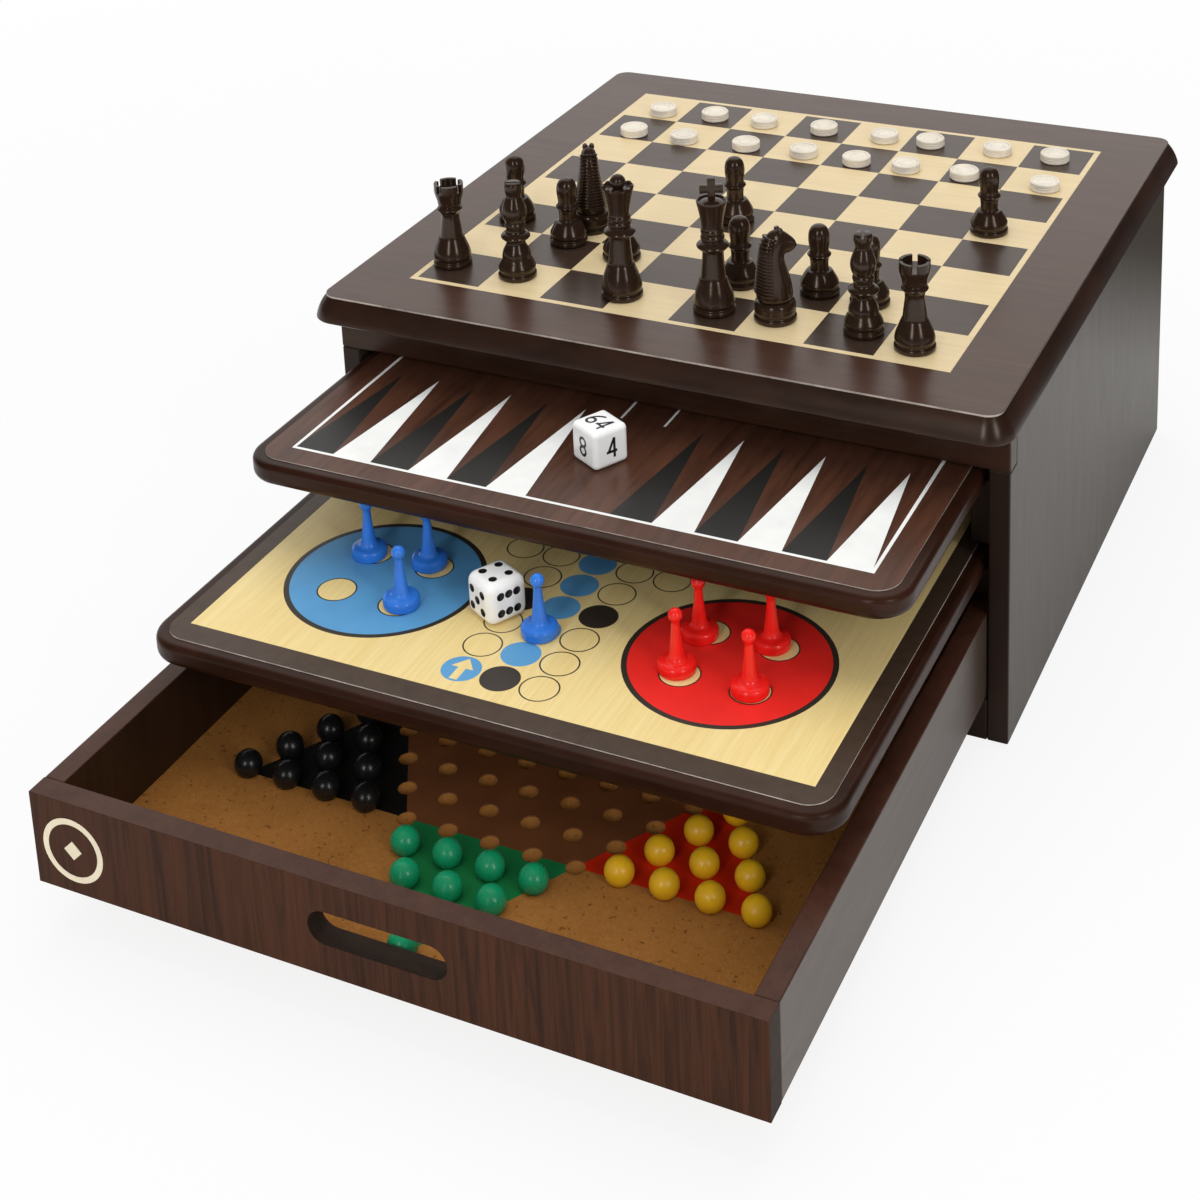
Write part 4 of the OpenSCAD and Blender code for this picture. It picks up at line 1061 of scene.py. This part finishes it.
def addCamera():
    az, el, roll = (math.radians(view[key]) for key in ("azimuth", "elevation", "roll"))
    back = Vector((math.sin(az) * math.cos(el), -math.cos(az) * math.cos(el), math.sin(el)))
    right = (-back).cross(Vector((0, 0, 1))).normalized()
    down = (-back).cross(right)
    across = math.cos(roll) * right + math.sin(roll) * down
    up = math.sin(roll) * right - math.cos(roll) * down
    data = bpy.data.cameras.new("photoCamera")
    camera = bpy.data.objects.new("photoCamera", data)
    bpy.context.scene.collection.objects.link(camera)
    turn = Matrix((across, up, back)).transposed().to_4x4()
    camera.matrix_world = Matrix.Translation(view["place"]) @ turn
    data.lens = view["lens"]
    data.sensor_width = view["sensor"]
    data.shift_x = view["shiftX"]
    data.shift_y = view["shiftY"]
    data.clip_start = view["nearest"]
    bpy.context.scene.camera = camera


paleFloor = {
    "size": 12, "below": 0.0004, "tone": 0.86, "roughness": 0.8, "specular": 0.2,
    "behind": (0.0, 0.92, 0.19, 0.32),  # how dim it is in reflections, and from where to where along Y
    "away": (0.85, 1.0, 0.5, 1.0),  # how even it looks, and from what distance to what
    "dim": 0.02, "even": 1.0,
}


def addFloor():
    # pale everywhere; what lies well behind the box is dim in reflections, as in a dark studio
    deselectAll()
    bpy.ops.mesh.primitive_plane_add(size=paleFloor["size"], location=(0, 0, -paleFloor["below"]))
    floor = bpy.context.object
    floor.name = "paleFloor"
    material, tree, shader = newMaterial("paleFloor", paleFloor["roughness"], paleFloor["specular"])
    shader.inputs["Base Color"].default_value = (*shade(neutral, paleFloor["tone"]), 1)
    output = next(n for n in tree.nodes if n.type == "OUTPUT_MATERIAL")
    coords = tree.nodes.new("ShaderNodeTexCoord")
    reach = tree.nodes.new("ShaderNodeVectorMath")
    reach.operation = "LENGTH"
    tree.links.new(coords.outputs["Object"], reach.inputs[0])
    path = tree.nodes.new("ShaderNodeLightPath")
    surface = shader.outputs[0]
    behind = ranged(tree, splitAxes(tree, coords.outputs["Object"])["Y"], *paleFloor["behind"])
    away = ranged(tree, reach.outputs["Value"], *paleFloor["away"])
    overlays = (("Is Glossy Ray", paleFloor["dim"], behind), ("Is Camera Ray", paleFloor["even"], away))
    for ray, tone, share in overlays:
        glow = tree.nodes.new("ShaderNodeEmission")
        glow.inputs["Color"].default_value = (tone, tone, tone, 1)
        surface = blended(tree, timesOf(tree, path.outputs[ray], share), surface, glow.outputs[0])
    tree.links.new(surface, output.inputs["Surface"])
    floor.data.materials.append(material)


lights = {
    "leftBox": {"at": (0.05, -2.3, 1.15), "size": (0.36, 1.2), "power": 10, "mirrored": True},
    "rightBox": {"at": (1.9, -1.25, 1.15), "size": (0.36, 1.2), "power": 10, "mirrored": True},
    "topBox": {"at": (0.0, 0.2, 1.9), "size": (1.8, 1.8), "power": 17, "mirrored": False},
}
lightsAim = (0.0, -0.12, 0.1)


def addLights():
    for name, light in lights.items():
        data = bpy.data.lights.new(name, "AREA")
        data.shape = "RECTANGLE"
        data.size, data.size_y = light["size"]
        data.energy = light["power"]
        lamp = bpy.data.objects.new(name, data)
        bpy.context.scene.collection.objects.link(lamp)
        lamp.location = light["at"]
        lamp.visible_glossy = light["mirrored"]
        aim = Vector(lightsAim) - Vector(light["at"])
        lamp.rotation_euler = aim.to_track_quat("-Z", "Y").to_euler()


studio = {  # soft light all round; mirrored, only the wall behind and to the left is bright
    "soft": 0.62, "seen": 1.0, "dim": 0.03, "behind": (0.0, 0.35), "aside": (0.05, 0.3),
}


def addStudio():
    world = bpy.data.worlds.new("studio")
    world.use_nodes = True
    tree = world.node_tree
    tree.nodes.clear()
    output = tree.nodes.new("ShaderNodeOutputWorld")
    coords = tree.nodes.new("ShaderNodeTexCoord")
    axes = splitAxes(tree, coords.outputs["Generated"])
    behind = ranged(tree, axes["Y"], studio["dim"], 1.0, *studio["behind"])
    aside = ranged(tree, axes["X"], 1.0, studio["dim"], *studio["aside"])
    grounds = {name: tree.nodes.new("ShaderNodeBackground") for name in ("soft", "seen", "mirrored")}
    for ground in grounds.values():
        ground.inputs["Color"].default_value = (1, 1, 1, 1)
    for name in ("soft", "seen"):
        grounds[name].inputs["Strength"].default_value = studio[name]
    tree.links.new(timesOf(tree, behind, aside), grounds["mirrored"].inputs["Strength"])
    soft, seen, mirrored = (ground.outputs[0] for ground in grounds.values())
    path = tree.nodes.new("ShaderNodeLightPath").outputs
    surface = blended(tree, path["Is Camera Ray"], blended(tree, path["Is Glossy Ray"], soft, mirrored), seen)
    tree.links.new(surface, output.inputs["Surface"])
    bpy.context.scene.world = world


addCamera()
addFloor()
addLights()
addStudio()
bpy.context.scene.view_settings.view_transform = "Standard"
print("camera, floor and lights set")
